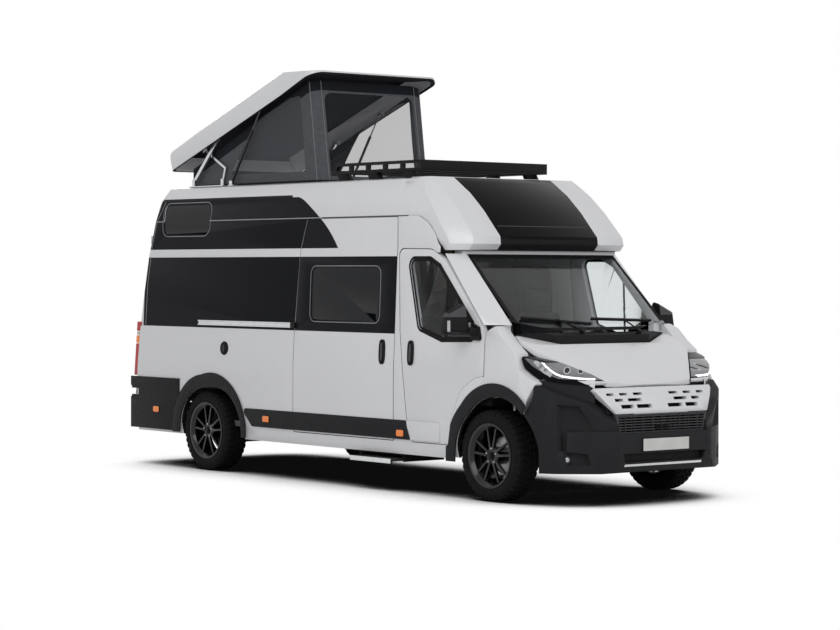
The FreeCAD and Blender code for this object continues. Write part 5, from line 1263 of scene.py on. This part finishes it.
# --- soft goods ------------------------------------------------------------------------------
@dataclass(frozen=True)
class Pad:
    """Stuffed cushion with a crowned top, drawn-in sides, sewn channels and a seam round it.

    Args:
        name: Name of the piece.
        half: Half its depth, width and thickness.
        spot: Its middle.
        lean: Turn about the width, in degrees.
        channels: Places of its sewn channels along the depth, -1 to 1.
        taper: Share of its thickness lost towards the far end.
        finish: Cloth that it is covered with.
        fill: How tight it is stuffed; not used.
    """

    name: str
    half: Point3
    spot: Point3
    lean: float = 0.0
    channels: tuple = (-0.45, 0.0, 0.45)
    taper: float = 0.0
    finish: Finish = SEAT
    fill: float = 0.8

    def form(self, a: float, b: float, c: float) -> Vector:
        """Point of the cushion for a point of a cube from -1 to 1."""
        reach = (abs(a) ** 6 + abs(b) ** 6) ** (1 / 6) / max(abs(a), abs(b), 1e-6)
        a, b = a / reach, b / reach
        edge = max(abs(a), abs(b))
        pull = 1 - 0.035 * (1 - min(abs(a), abs(b)) ** 2) * edge ** 4
        thick = (1 - 0.42 * edge ** 5) * (1 - self.taper * (a + 1) / 2)
        dip = sum(math.exp(-((a - place) / 0.035) ** 2) for place in self.channels) * 0.16
        level = c * thick * (1 - dip * (1 - edge ** 6))
        return Vector((a * pull * self.half[0], b * pull * self.half[1], level * self.half[2]))

    def place(self) -> Matrix:
        """Place and lean of the cushion in the vehicle."""
        return Matrix.Translation(Vector(self.spot)) @ Matrix.Rotation(math.radians(self.lean), 4, "Y")

    def build(self) -> None:
        """Cushion and its seam."""
        work = bmesh.new()
        bmesh.ops.create_cube(work, size=2.0)
        bmesh.ops.subdivide_edges(work, edges=work.edges, cuts=22, use_grid_fill=True)
        for vert in work.verts:
            vert.co = self.place() @ self.form(*vert.co)
        bmesh.ops.recalc_face_normals(work, faces=work.faces)
        cushion = from_bmesh(self.name, work)
        puff(cushion, cap=0.006)
        settle(cushion, self.finish, "body", smooth=60)
        ring = []
        for k in range(48):
            angle = math.tau * k / 48
            u, v = math.cos(angle), math.sin(angle)
            big = max(abs(u), abs(v))
            ring.append(self.place() @ (self.form(u / big, v / big, 0.0) * 1.006))
        tube(self.name + "_seam", ring, 0.0035, BAND, "body", closed=True)


def puff(obj: bpy.types.Object, cap: float) -> None:
    """Stuffs a cushion by a short cloth simulation, and keeps the result.

    Args:
        obj: The cushion.
        cap: Farthest that a point may move.
    """
    scene = bpy.context.scene
    rest = [v.co.copy() for v in obj.data.vertices]
    cloth = obj.modifiers.new("Cloth", "CLOTH")
    cloth.settings.quality = 4
    cloth.settings.use_pressure = True
    cloth.settings.uniform_pressure_force = 4.0
    cloth.settings.effector_weights.gravity = 0.0
    cloth.point_cache.frame_start, cloth.point_cache.frame_end = 1, 20
    for step in range(1, 21):
        scene.frame_set(step)
    applied(obj)
    scene.frame_set(1)
    for vert, old in zip(obj.data.vertices, rest):
        move = vert.co - old
        if move.length > cap:
            vert.co = old + move.normalized() * cap


def cushions() -> None:
    """Cab seats, bench and mattress."""
    for side, tag in ((-1, "right"), (1, "left")):
        y = side * 0.465
        Pad("cab_cushion_" + tag, (0.252, 0.256, 0.066), (1.395, y, 0.853), -3.0).build()
        Pad("cab_back_" + tag, (0.330, 0.250, 0.074), (1.158, y, 1.175), -103.0 + 180, (-0.5, -0.1, 0.3),
            0.35).build()
        Pad("headrest_" + tag, (0.098, 0.148, 0.056), (1.068, y, 1.592), -98.0 + 180, (), 0.1).build()
    for y, tag in ((0.270, "inner"), (0.690, "outer")):
        Pad("bench_cushion_" + tag, (0.262, 0.208, 0.050), (-0.115, y, 0.905)).build()
        Pad("bench_back_" + tag, (0.318, 0.208, 0.066), (-0.345, y, 1.235), -98.5 + 180, (-0.5, -0.1, 0.3),
            0.3).build()
    Pad("mattress", (0.655, 0.890, 0.050), (-2.235, 0, 1.122), 0.0, (-0.6, -0.2, 0.2, 0.6), finish=QUILT,
        fill=0.6).build()


# --- wheels --------------------------------------------------------------------------------
@dataclass(frozen=True)
class Wheel:
    """Tyre with all-terrain tread, hub cap and bolts of one wheel.

    Args:
        tag: Which wheel.
        side: -1 on the right, 1 on the left.
        groove: Depth of the tread.
        pitches: Lug patterns round the tyre.
        bolts: Wheel bolts.
        bolt_circle: Radius that they sit on.
    """

    tag: str
    side: int
    groove: float = 0.010
    pitches: int = 40
    bolts: int = 5
    bolt_circle: float = 0.059

    @property
    def centre(self) -> Vector:
        """Middle of the wheel."""
        low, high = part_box("tyre_" + self.tag)
        return (Vector(low) + Vector(high)) / 2

    @property
    def radius(self) -> float:
        """Outer radius of the tread."""
        low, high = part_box("tyre_" + self.tag)
        return (high[2] - low[2]) / 2

    def build(self) -> None:
        """Whole wheel."""
        self.carcass()
        self.tread()
        self.hub()

    def carcass(self) -> None:
        """Tyre without its lugs, with a ribbed sidewall."""
        base = self.radius - self.groove
        half = [(base, 0.0), (base, 0.085), (base - 0.006, 0.100), (base - 0.030, 0.111), (0.314, 0.1155),
                (0.308, 0.1168), (0.302, 0.1155), (0.292, 0.1150), (0.286, 0.1160), (0.280, 0.1130),
                (0.270, 0.1085), (0.262, 0.1050), (0.259, 0.090), (0.259, 0.0)]
        loop = half + [(r, -y) for r, y in reversed(half[1:-1])]
        revolved("tyre_body_" + self.tag, loop, self.centre, Vector((0, 1, 0)), TYRE,
                 body_of("tyre_" + self.tag), 128, True, ["tyre_" + self.tag])

    def tread(self) -> None:
        """Lugs of one pitch, repeated round the wheel."""
        top = self.radius - 0.0002
        foot = self.radius - self.groove - 0.002
        half_pitch = math.pi * self.radius / self.pitches
        # lugs of one half: outline as (along the tread, across)
        lugs = [[(-0.019, 0.004), (0.004, 0.002), (0.020, 0.010), (0.012, 0.030), (-0.010, 0.034)],
                [(-0.022, 0.041), (0.002, 0.038), (0.019, 0.047), (0.017, 0.068), (-0.008, 0.070),
                 (-0.024, 0.060)],
                [(-0.021, 0.076), (0.015, 0.073), (0.021, 0.080), (0.017, 0.0965), (-0.017, 0.0965)]]
        work = bmesh.new()
        for side in (-1, 1):
            shift = half_pitch if side > 0 else 0.0
            for outline in lugs:
                rings = []
                for height, inset in ((foot, 0.0), (top - 0.0015, 0.0008), (top, 0.0022)):
                    middle = sum((Vector(p) for p in outline), Vector((0, 0))) / len(outline)
                    ring = []
                    for point in outline:
                        s, y = Vector(point) + (middle - Vector(point)).normalized() * inset
                        angle = (s + shift) / self.radius
                        drop = height - (0.004 if y > 0.094 else 0.0)
                        ring.append(work.verts.new(self.centre + Vector(
                            (drop * math.sin(angle), side * y, drop * math.cos(angle)))))
                    rings.append(ring)
                self._skin(work, rings)
            # rib that runs down over the shoulder
            half = 0.017
            rings = []
            for y, high, low in ((0.093, top - 0.004, foot), (0.103, top - 0.013, foot - 0.008),
                                 (0.1125, top - 0.040, foot - 0.032)):
                ring = []
                for s, r in ((-half, low), (half, low), (half * 0.85, high), (-half * 0.85, high)):
                    angle = (s + shift) / self.radius
                    ring.append(work.verts.new(self.centre + Vector(
                        (r * math.sin(angle), side * (y + (0.002 if r == high else -0.004)),
                         r * math.cos(angle)))))
                rings.append(ring)
            self._skin(work, rings)
        bmesh.ops.recalc_face_normals(work, faces=work.faces)
        lug = from_bmesh("tread_" + self.tag, work)
        COPIER.repeat(lug, TYRE, body_of("tyre_" + self.tag), self.pitches, self.centre,
                      turn=Vector((0, math.tau / self.pitches, 0)))

    @staticmethod
    def _skin(work: bmesh.types.BMesh, rings: list[list[bmesh.types.BMVert]]) -> None:
        """Closed skin over rings of equal length."""
        count = len(rings[0])
        for low, high in zip(rings, rings[1:]):
            for k in range(count):
                j = (k + 1) % count
                work.faces.new((low[k], low[j], high[j], high[k]))
        work.faces.new(rings[0][::-1])
        work.faces.new(rings[-1])

    def hub(self) -> None:
        """Centre cap and wheel bolts."""
        body = body_of("rim_" + self.tag)
        out = Vector((0, self.side, 0))
        face, _ = Probe("rim_" + self.tag).hit(self.centre + out, -out)
        Boss((0.032, 0.032), ((0, -0.004), (0, 0.004), (0.004, 0.007), (0.012, 0.0065), (0.015, 0.008)),
             GLOSS, 2.0, 48).build("hub_cap_" + self.tag, face, out, body)
        spot = face + Vector((0, 0, self.bolt_circle))
        try:
            spot, _ = Probe("rim_" + self.tag).hit(self.centre + Vector((0, 0, self.bolt_circle)) + out, -out)
        except ValueError:
            log.info("bolt of %s sits on the cap's plane", self.tag)
        bolt = Boss((0.0095, 0.0095), ((0, -0.006), (0, 0.008), (0.002, 0.010), (0.006, 0.010)), STEEL, 2.0,
                    6).build("bolts_" + self.tag, spot, out, body)
        COPIER.repeat(bolt, STEEL, body, self.bolts, self.centre, turn=Vector((0, math.tau / self.bolts, 0)))


# --- roof -------------------------------------------------------------------------------------
class Lid:
    """Dark underside and black rim seal of the roof lid."""

    SEAL_HEIGHT = 0.018

    def __init__(self) -> None:
        """Finds the tilt of the lid."""
        mesh = bpy.data.objects["roof_lid_skin"].data
        under = max((f for f in mesh.polygons if f.normal.z < -0.5), key=lambda f: f.area)
        self.up = -under.normal.copy()
        self.along = Vector((self.up.z, 0, -self.up.x))
        self.floor = min(self.up.dot(v.co) for v in mesh.vertices)

    def build(self) -> None:
        """Dark underside, and a seal on each side of the rim."""
        repaint("roof_lid", BAND, lambda face: face.normal.dot(self.up) < -0.35)
        band = (self.floor - 0.02, self.floor + self.SEAL_HEIGHT)
        strip = [box_outline((-9, band[0]), (9, band[1]))]
        left = Vector((0, 1, 0))
        for tag, across, out in (("right", self.along, -left), ("left", self.along, left),
                                 ("front", left, self.along), ("rear", left, -self.along)):
            view = View(across, self.up, out)
            Painter(view, ["roof_lid"], steep=0.35).cut("lid_seal_" + tag, strip, SEAL, 0.001)


@dataclass(frozen=True)
class Tent:
    """Canvas of the pop-up roof with its mesh windows and piping.

    Args:
        up: Direction that the lid faces upwards.
        foot: Height of its lower edge.
        lap: Gap under the lid.
        folds: Depth of its soft folds.
        girth: Length of the cloth round the tent; not used.
        band: Height of the dark band under the lid, partly the cloth's real band and partly the lid's shadow
            painted into it.
        front_top: Place of the highest point along the vehicle.
        keep: Share of its height that is left when the roof is shut; not used.
        corners: Corners on the right from the rear: place at the foot, place at the top, distance from
            the middle.
        side_window: Outline of the mesh window in each side.
        front_window: Outline of the clear pane in front.
    """

    up: Vector
    foot: float = 2.651
    lap: float = 0.004
    folds: float = 0.007
    girth: float = 6.628
    band: float = 0.085
    front_top: float = -0.700
    keep: float = 0.05
    corners: tuple = ((-2.610, -2.610, 0.632), (-0.622, -0.745, 0.632), (-0.566, -0.706, 0.535))
    side_window: tuple = ((-1.99, 2.745), (-0.80, 2.745), (-0.885, 3.430), (-1.05, 3.412, 0.2),
                          (-1.60, 3.218, 0.3))
    front_window: tuple = ((-0.512, 2.70), (0.512, 2.70), (0.508, 3.455, 0.08), (-0.508, 3.455, 0.08))

    def rail(self) -> list[tuple[Vector, Vector]]:
        """Foot and top of each corner, from the rear right round to the rear left."""
        _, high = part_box("tent")
        slope = math.tan(math.acos(min(1.0, self.up.z)))

        def roof(x: float) -> float:
            """Height of the lid over a point."""
            return high[2] + (x - self.front_top) * slope - self.lap

        right = [(Vector((x0, -y, self.foot)), Vector((x1, -y, roof(x1)))) for x0, x1, y in self.corners]
        left = [(Vector((a.x, -a.y, a.z)), Vector((b.x, -b.y, b.z))) for a, b in reversed(right)]
        return right + left

    def cloth(self) -> bmesh.types.BMesh:
        """Grid of the whole canvas with its folds."""
        rail = self.rail()
        loop = rail + rail[:1]
        lines = []
        for (foot, top), (next_foot, next_top) in zip(loop, loop[1:]):
            steps = max(2, round((next_foot - foot).length / 0.04))
            for k in range(steps):
                share = k / steps
                lines.append((foot.lerp(next_foot, share), top.lerp(next_top, share), share,
                              (next_foot - foot).cross(UP).normalized()))
        rows = 26
        work = bmesh.new()
        grid = []
        for foot, top, share, out in lines:
            column = []
            for r in range(rows + 1):
                v = r / rows
                point = foot.lerp(top, v)
                calm = math.sin(math.pi * share) * math.sin(math.pi * v)
                broad = math.sin(9 * point.x + 5 * v) * 0.6
                wave = broad + math.sin(23 * point.y + 17 * point.x - 9 * v) * 0.4
                column.append(work.verts.new(point - out * self.folds * calm * (1 + wave)))
            grid.append(column)
        for a, b in zip(grid, grid[1:] + grid[:1]):
            for r in range(rows):
                work.faces.new((a[r], b[r], b[r + 1], a[r + 1]))
        bmesh.ops.recalc_face_normals(work, faces=work.faces)
        return work

    @staticmethod
    def score(work: bmesh.types.BMesh, planes: Sequence[tuple[Vector, Vector]]) -> None:
        """Cuts the canvas along planes, each a point and a normal, and keeps both sides."""
        for spot, normal in planes:
            bmesh.ops.bisect_plane(work, geom=work.verts[:] + work.edges[:] + work.faces[:],
                                   plane_co=spot, plane_no=normal, dist=1e-6)

    def build(self) -> None:
        """Canvas, piping and hem, each with its own mesh."""
        work = self.cloth()
        windows = [(RIGHT, rounded(self.side_window), 1), (FRONT, rounded(self.front_window), 3)]
        rail = self.rail()
        slope = (rail[1][1] - rail[0][1]).normalized()
        above = slope.cross(Vector((0, -1, 0)))
        above = above if above.z > 0 else -above
        for view, outline, _ in windows:
            self.score(work, view.walls(outline))
        self.score(work, [(rail[0][1] - above * self.band, above)])
        for view, outline, part in windows:
            planes = view.walls(outline)
            for face in work.faces:
                middle = face.calc_center_median()
                front_only = view is not FRONT or middle.x > -1.0
                if abs(face.normal.dot(view.out)) > 0.75 and front_only and all(
                        (middle - spot).dot(normal) < 1e-6 for spot, normal in planes):
                    face.material_index = part
        # faces in the band under the lid take the dark cloth: partly the real band, partly painted shade of
        # the lid
        for face in work.faces:
            high = (rail[0][1] - face.calc_center_median()).dot(above) < self.band
            if face.material_index == 0 and high:
                face.material_index = 2
        area = sum(f.calc_area() for f in work.faces)
        obj = from_bmesh("tent_canvas", work)
        for finish in (TENT, MESH, BAND, PANE):
            obj.data.materials.append(finish.material())
        settle(obj, TENT, body_of("tent"), replaces=["tent"])
        self.squash(obj)
        for number, (foot, top) in enumerate(rail[1:-1]):
            points = [foot.lerp(top, k / 12) for k in range(13)]
            self.squash(tube("tent_piping_%d" % number, points, 0.0035, PIPING, body_of("tent")))
        points = [foot + Vector((0, 0, 0.006)) for foot, _ in rail]
        self.squash(tube("tent_hem", points, 0.006, BAND, body_of("tent"), closed=True))

    def squash(self, obj: bpy.types.Object) -> None:
        """Gives a piece of the tent its own copy of its mesh."""
        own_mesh(obj)


@dataclass
class Studio:
    """Camera, lamps, floor and backdrop.

    Args:
        eye: Place of the camera.
        yaw: Its heading, in degrees.
        pitch: Its tilt upwards.
        roll: Its turn about its axis.
        lens: Focal length, in millimetres.
        ambient: Strength of the surroundings.
        shade_reach: Reach of the shade on the floor.
        shade_range: Share of open sky at the darkest and the brightest floor.
    """

    eye: Point3 = (17.2871, -13.9266, 1.8333)
    yaw: float = 141.040
    pitch: float = -0.9755
    roll: float = 0.1415
    lens: float = 106.53
    ambient: float = 0.42
    shade_reach: float = 1.3
    shade_range: Point2 = (0.30, 0.80)

    def camera(self) -> None:
        """Camera at its place, looking at the vehicle."""
        yaw, pitch, roll = (math.radians(a) for a in (self.yaw, self.pitch, self.roll))
        ahead = Vector((math.cos(pitch) * math.cos(yaw), math.cos(pitch) * math.sin(yaw),
                        math.sin(pitch)))
        right = ahead.cross(Vector((0, 0, 1))).normalized()
        up = right.cross(ahead)
        across = right * math.cos(roll) + up * math.sin(roll)
        upright = up * math.cos(roll) - right * math.sin(roll)
        data = bpy.data.cameras.new("camera")
        data.lens, data.sensor_width = self.lens, 36.0
        data.clip_end = 200.0
        camera = bpy.data.objects.new("camera", data)
        turn = Matrix((across, upright, -ahead)).transposed().to_4x4()
        camera.matrix_world = Matrix.Translation(Vector(self.eye)) @ turn
        bpy.context.scene.collection.objects.link(camera)
        bpy.context.scene.camera = camera

    def lamp(self, name: str, spot: Point3, aim: Point3, size: float, power: float) -> None:
        """Square soft lamp.

        Args:
            name: Name of the lamp.
            spot: Its place.
            aim: Point that it faces.
            size: Its side.
            power: Its power in watts.
        """
        data = bpy.data.lights.new(name, "AREA")
        data.size, data.energy = size, power
        lamp = bpy.data.objects.new(name, data)
        lamp.location = spot
        lamp.rotation_euler = (Vector(aim) - Vector(spot)).to_track_quat("-Z", "Y").to_euler()
        bpy.context.scene.collection.objects.link(lamp)

    def world(self) -> None:
        """Even pale surroundings that show as white."""
        world = bpy.data.worlds.new("surroundings")
        bpy.context.scene.world = world
        world.use_nodes = True
        tree = world.node_tree
        back = tree.nodes["Background"]
        level = tree.nodes.new("ShaderNodeMapRange")
        level.inputs["To Min"].default_value = self.ambient
        level.inputs["To Max"].default_value = 1.0
        tree.links.new(self._seen(tree), level.inputs["Value"])
        tree.links.new(level.outputs["Result"], back.inputs["Strength"])
        back.inputs["Color"].default_value = (1, 1, 1, 1)

    @staticmethod
    def _seen(tree: bpy.types.NodeTree) -> bpy.types.NodeSocket:
        """One for camera, glossy and transmission rays, else zero."""
        paths = tree.nodes.new("ShaderNodeLightPath").outputs
        total = paths["Is Camera Ray"]
        for name in ("Is Glossy Ray", "Is Transmission Ray"):
            both = tree.nodes.new("ShaderNodeMath")
            both.operation = "MAXIMUM"
            tree.links.new(total, both.inputs[0])
            tree.links.new(paths[name], both.inputs[1])
            total = both.outputs["Value"]
        return total

    def floor(self) -> None:
        """White floor that darkens where the object covers it: to the camera it shows a glow whose strength
        ambient occlusion sets, a painted shadow.
        """
        work = bmesh.new()
        bmesh.ops.create_grid(work, x_segments=1, y_segments=1, size=60)
        floor = from_bmesh("studio_floor", work)
        material = bpy.data.materials.new("studio_floor")
        material.use_nodes = True
        tree = material.node_tree
        shader = tree.nodes["Principled BSDF"]
        shader.inputs["Base Color"].default_value = (0.8, 0.8, 0.8, 1)
        shader.inputs["Roughness"].default_value = 0.9
        shader.inputs["Specular IOR Level"].default_value = 0.0
        # painted shadow: ambient occlusion near the object dims the floor's glow
        cover = tree.nodes.new("ShaderNodeAmbientOcclusion")
        cover.samples = 16
        cover.inputs["Distance"].default_value = self.shade_reach
        painted_shadow_level = tree.nodes.new("ShaderNodeMapRange")
        painted_shadow_level.interpolation_type = "SMOOTHSTEP"
        painted_shadow_level.inputs["From Min"].default_value = self.shade_range[0]
        painted_shadow_level.inputs["From Max"].default_value = self.shade_range[1]
        painted_shadow_level.inputs["To Min"].default_value = 0.004
        painted_shadow_level.inputs["To Max"].default_value = 1.0
        tree.links.new(cover.outputs["AO"], painted_shadow_level.inputs["Value"])
        white = tree.nodes.new("ShaderNodeEmission")
        tree.links.new(painted_shadow_level.outputs["Result"], white.inputs["Strength"])
        mix = tree.nodes.new("ShaderNodeMixShader")
        tree.links.new(self._seen(tree), mix.inputs["Fac"])
        tree.links.new(shader.outputs["BSDF"], mix.inputs[1])
        tree.links.new(white.outputs["Emission"], mix.inputs[2])
        tree.links.new(mix.outputs["Shader"], tree.nodes["Material Output"].inputs["Surface"])
        floor.data.materials.append(material)

    def build(self) -> None:
        """Whole studio."""
        self.camera()
        self.world()
        self.floor()
        self.lamp("key_lamp", (8.0, -11.0, 9.0), (0, 0, 1.2), 9.0, 760)
        self.lamp("front_lamp", (16.0, 2.0, 5.0), (2.0, 0, 1.2), 6.0, 300)
        self.lamp("rear_lamp", (-12.0, 6.0, 8.0), (0, 0, 1.5), 7.0, 420)
        bpy.context.scene.view_settings.view_transform = "Standard"


# nodes whose edge faces round an opening are painted dark: partly the rubber seals, partly painted shade in
# the gaps
SEAL_AND_SHADE_EDGES = ("side_wall_right", "side_wall_left", "sliding_door", "door_right", "door_left")


def main() -> None:
    """Builds everything in order."""
    logging.basicConfig(level=logging.WARNING, format="%(name)s %(message)s")
    Studio().build()
    for node, (finish, bevel) in DRESS.items():
        if node not in REPLACED:
            refined(node, finish, bevel)
    lid = Lid()
    lid.build()
    for side in (-1, 1):
        SideArt(side).build()
    FrontFace().build()
    Openings().build()
    # edge faces across each side painted dark, as seal and as painted shade in the gap; the doors' forward
    # edge faces stay white
    for node in SEAL_AND_SHADE_EDGES:
        limit = 0.3 if node.startswith("door") else 2.0
        repaint(node, SEAL, lambda face: abs(face.normal.y) < 0.3 and face.normal.x < limit)
    # downward faces low on the roof shell painted dark: under the black nose panel, and along the sides as
    # painted shade in the seam with the walls
    repaint("roof_shell", SEAL, lambda face: face.normal.z < -0.6 and face.center.z < 2.34 and (
        abs(face.center.y) < 0.52 or face.center.x < 1.2))
    repaint("fenders", SEAL, WheelHouse(1).is_lip)
    for side in (-1, 1):
        WheelHouse(side).build()
    for tag, side in (("front_right", -1), ("front_left", 1), ("rear_right", -1), ("rear_left", 1)):
        Wheel(tag, side).build()
    Tent(lid.up).build()
    cushions()


if __name__ == "__main__":
    main()
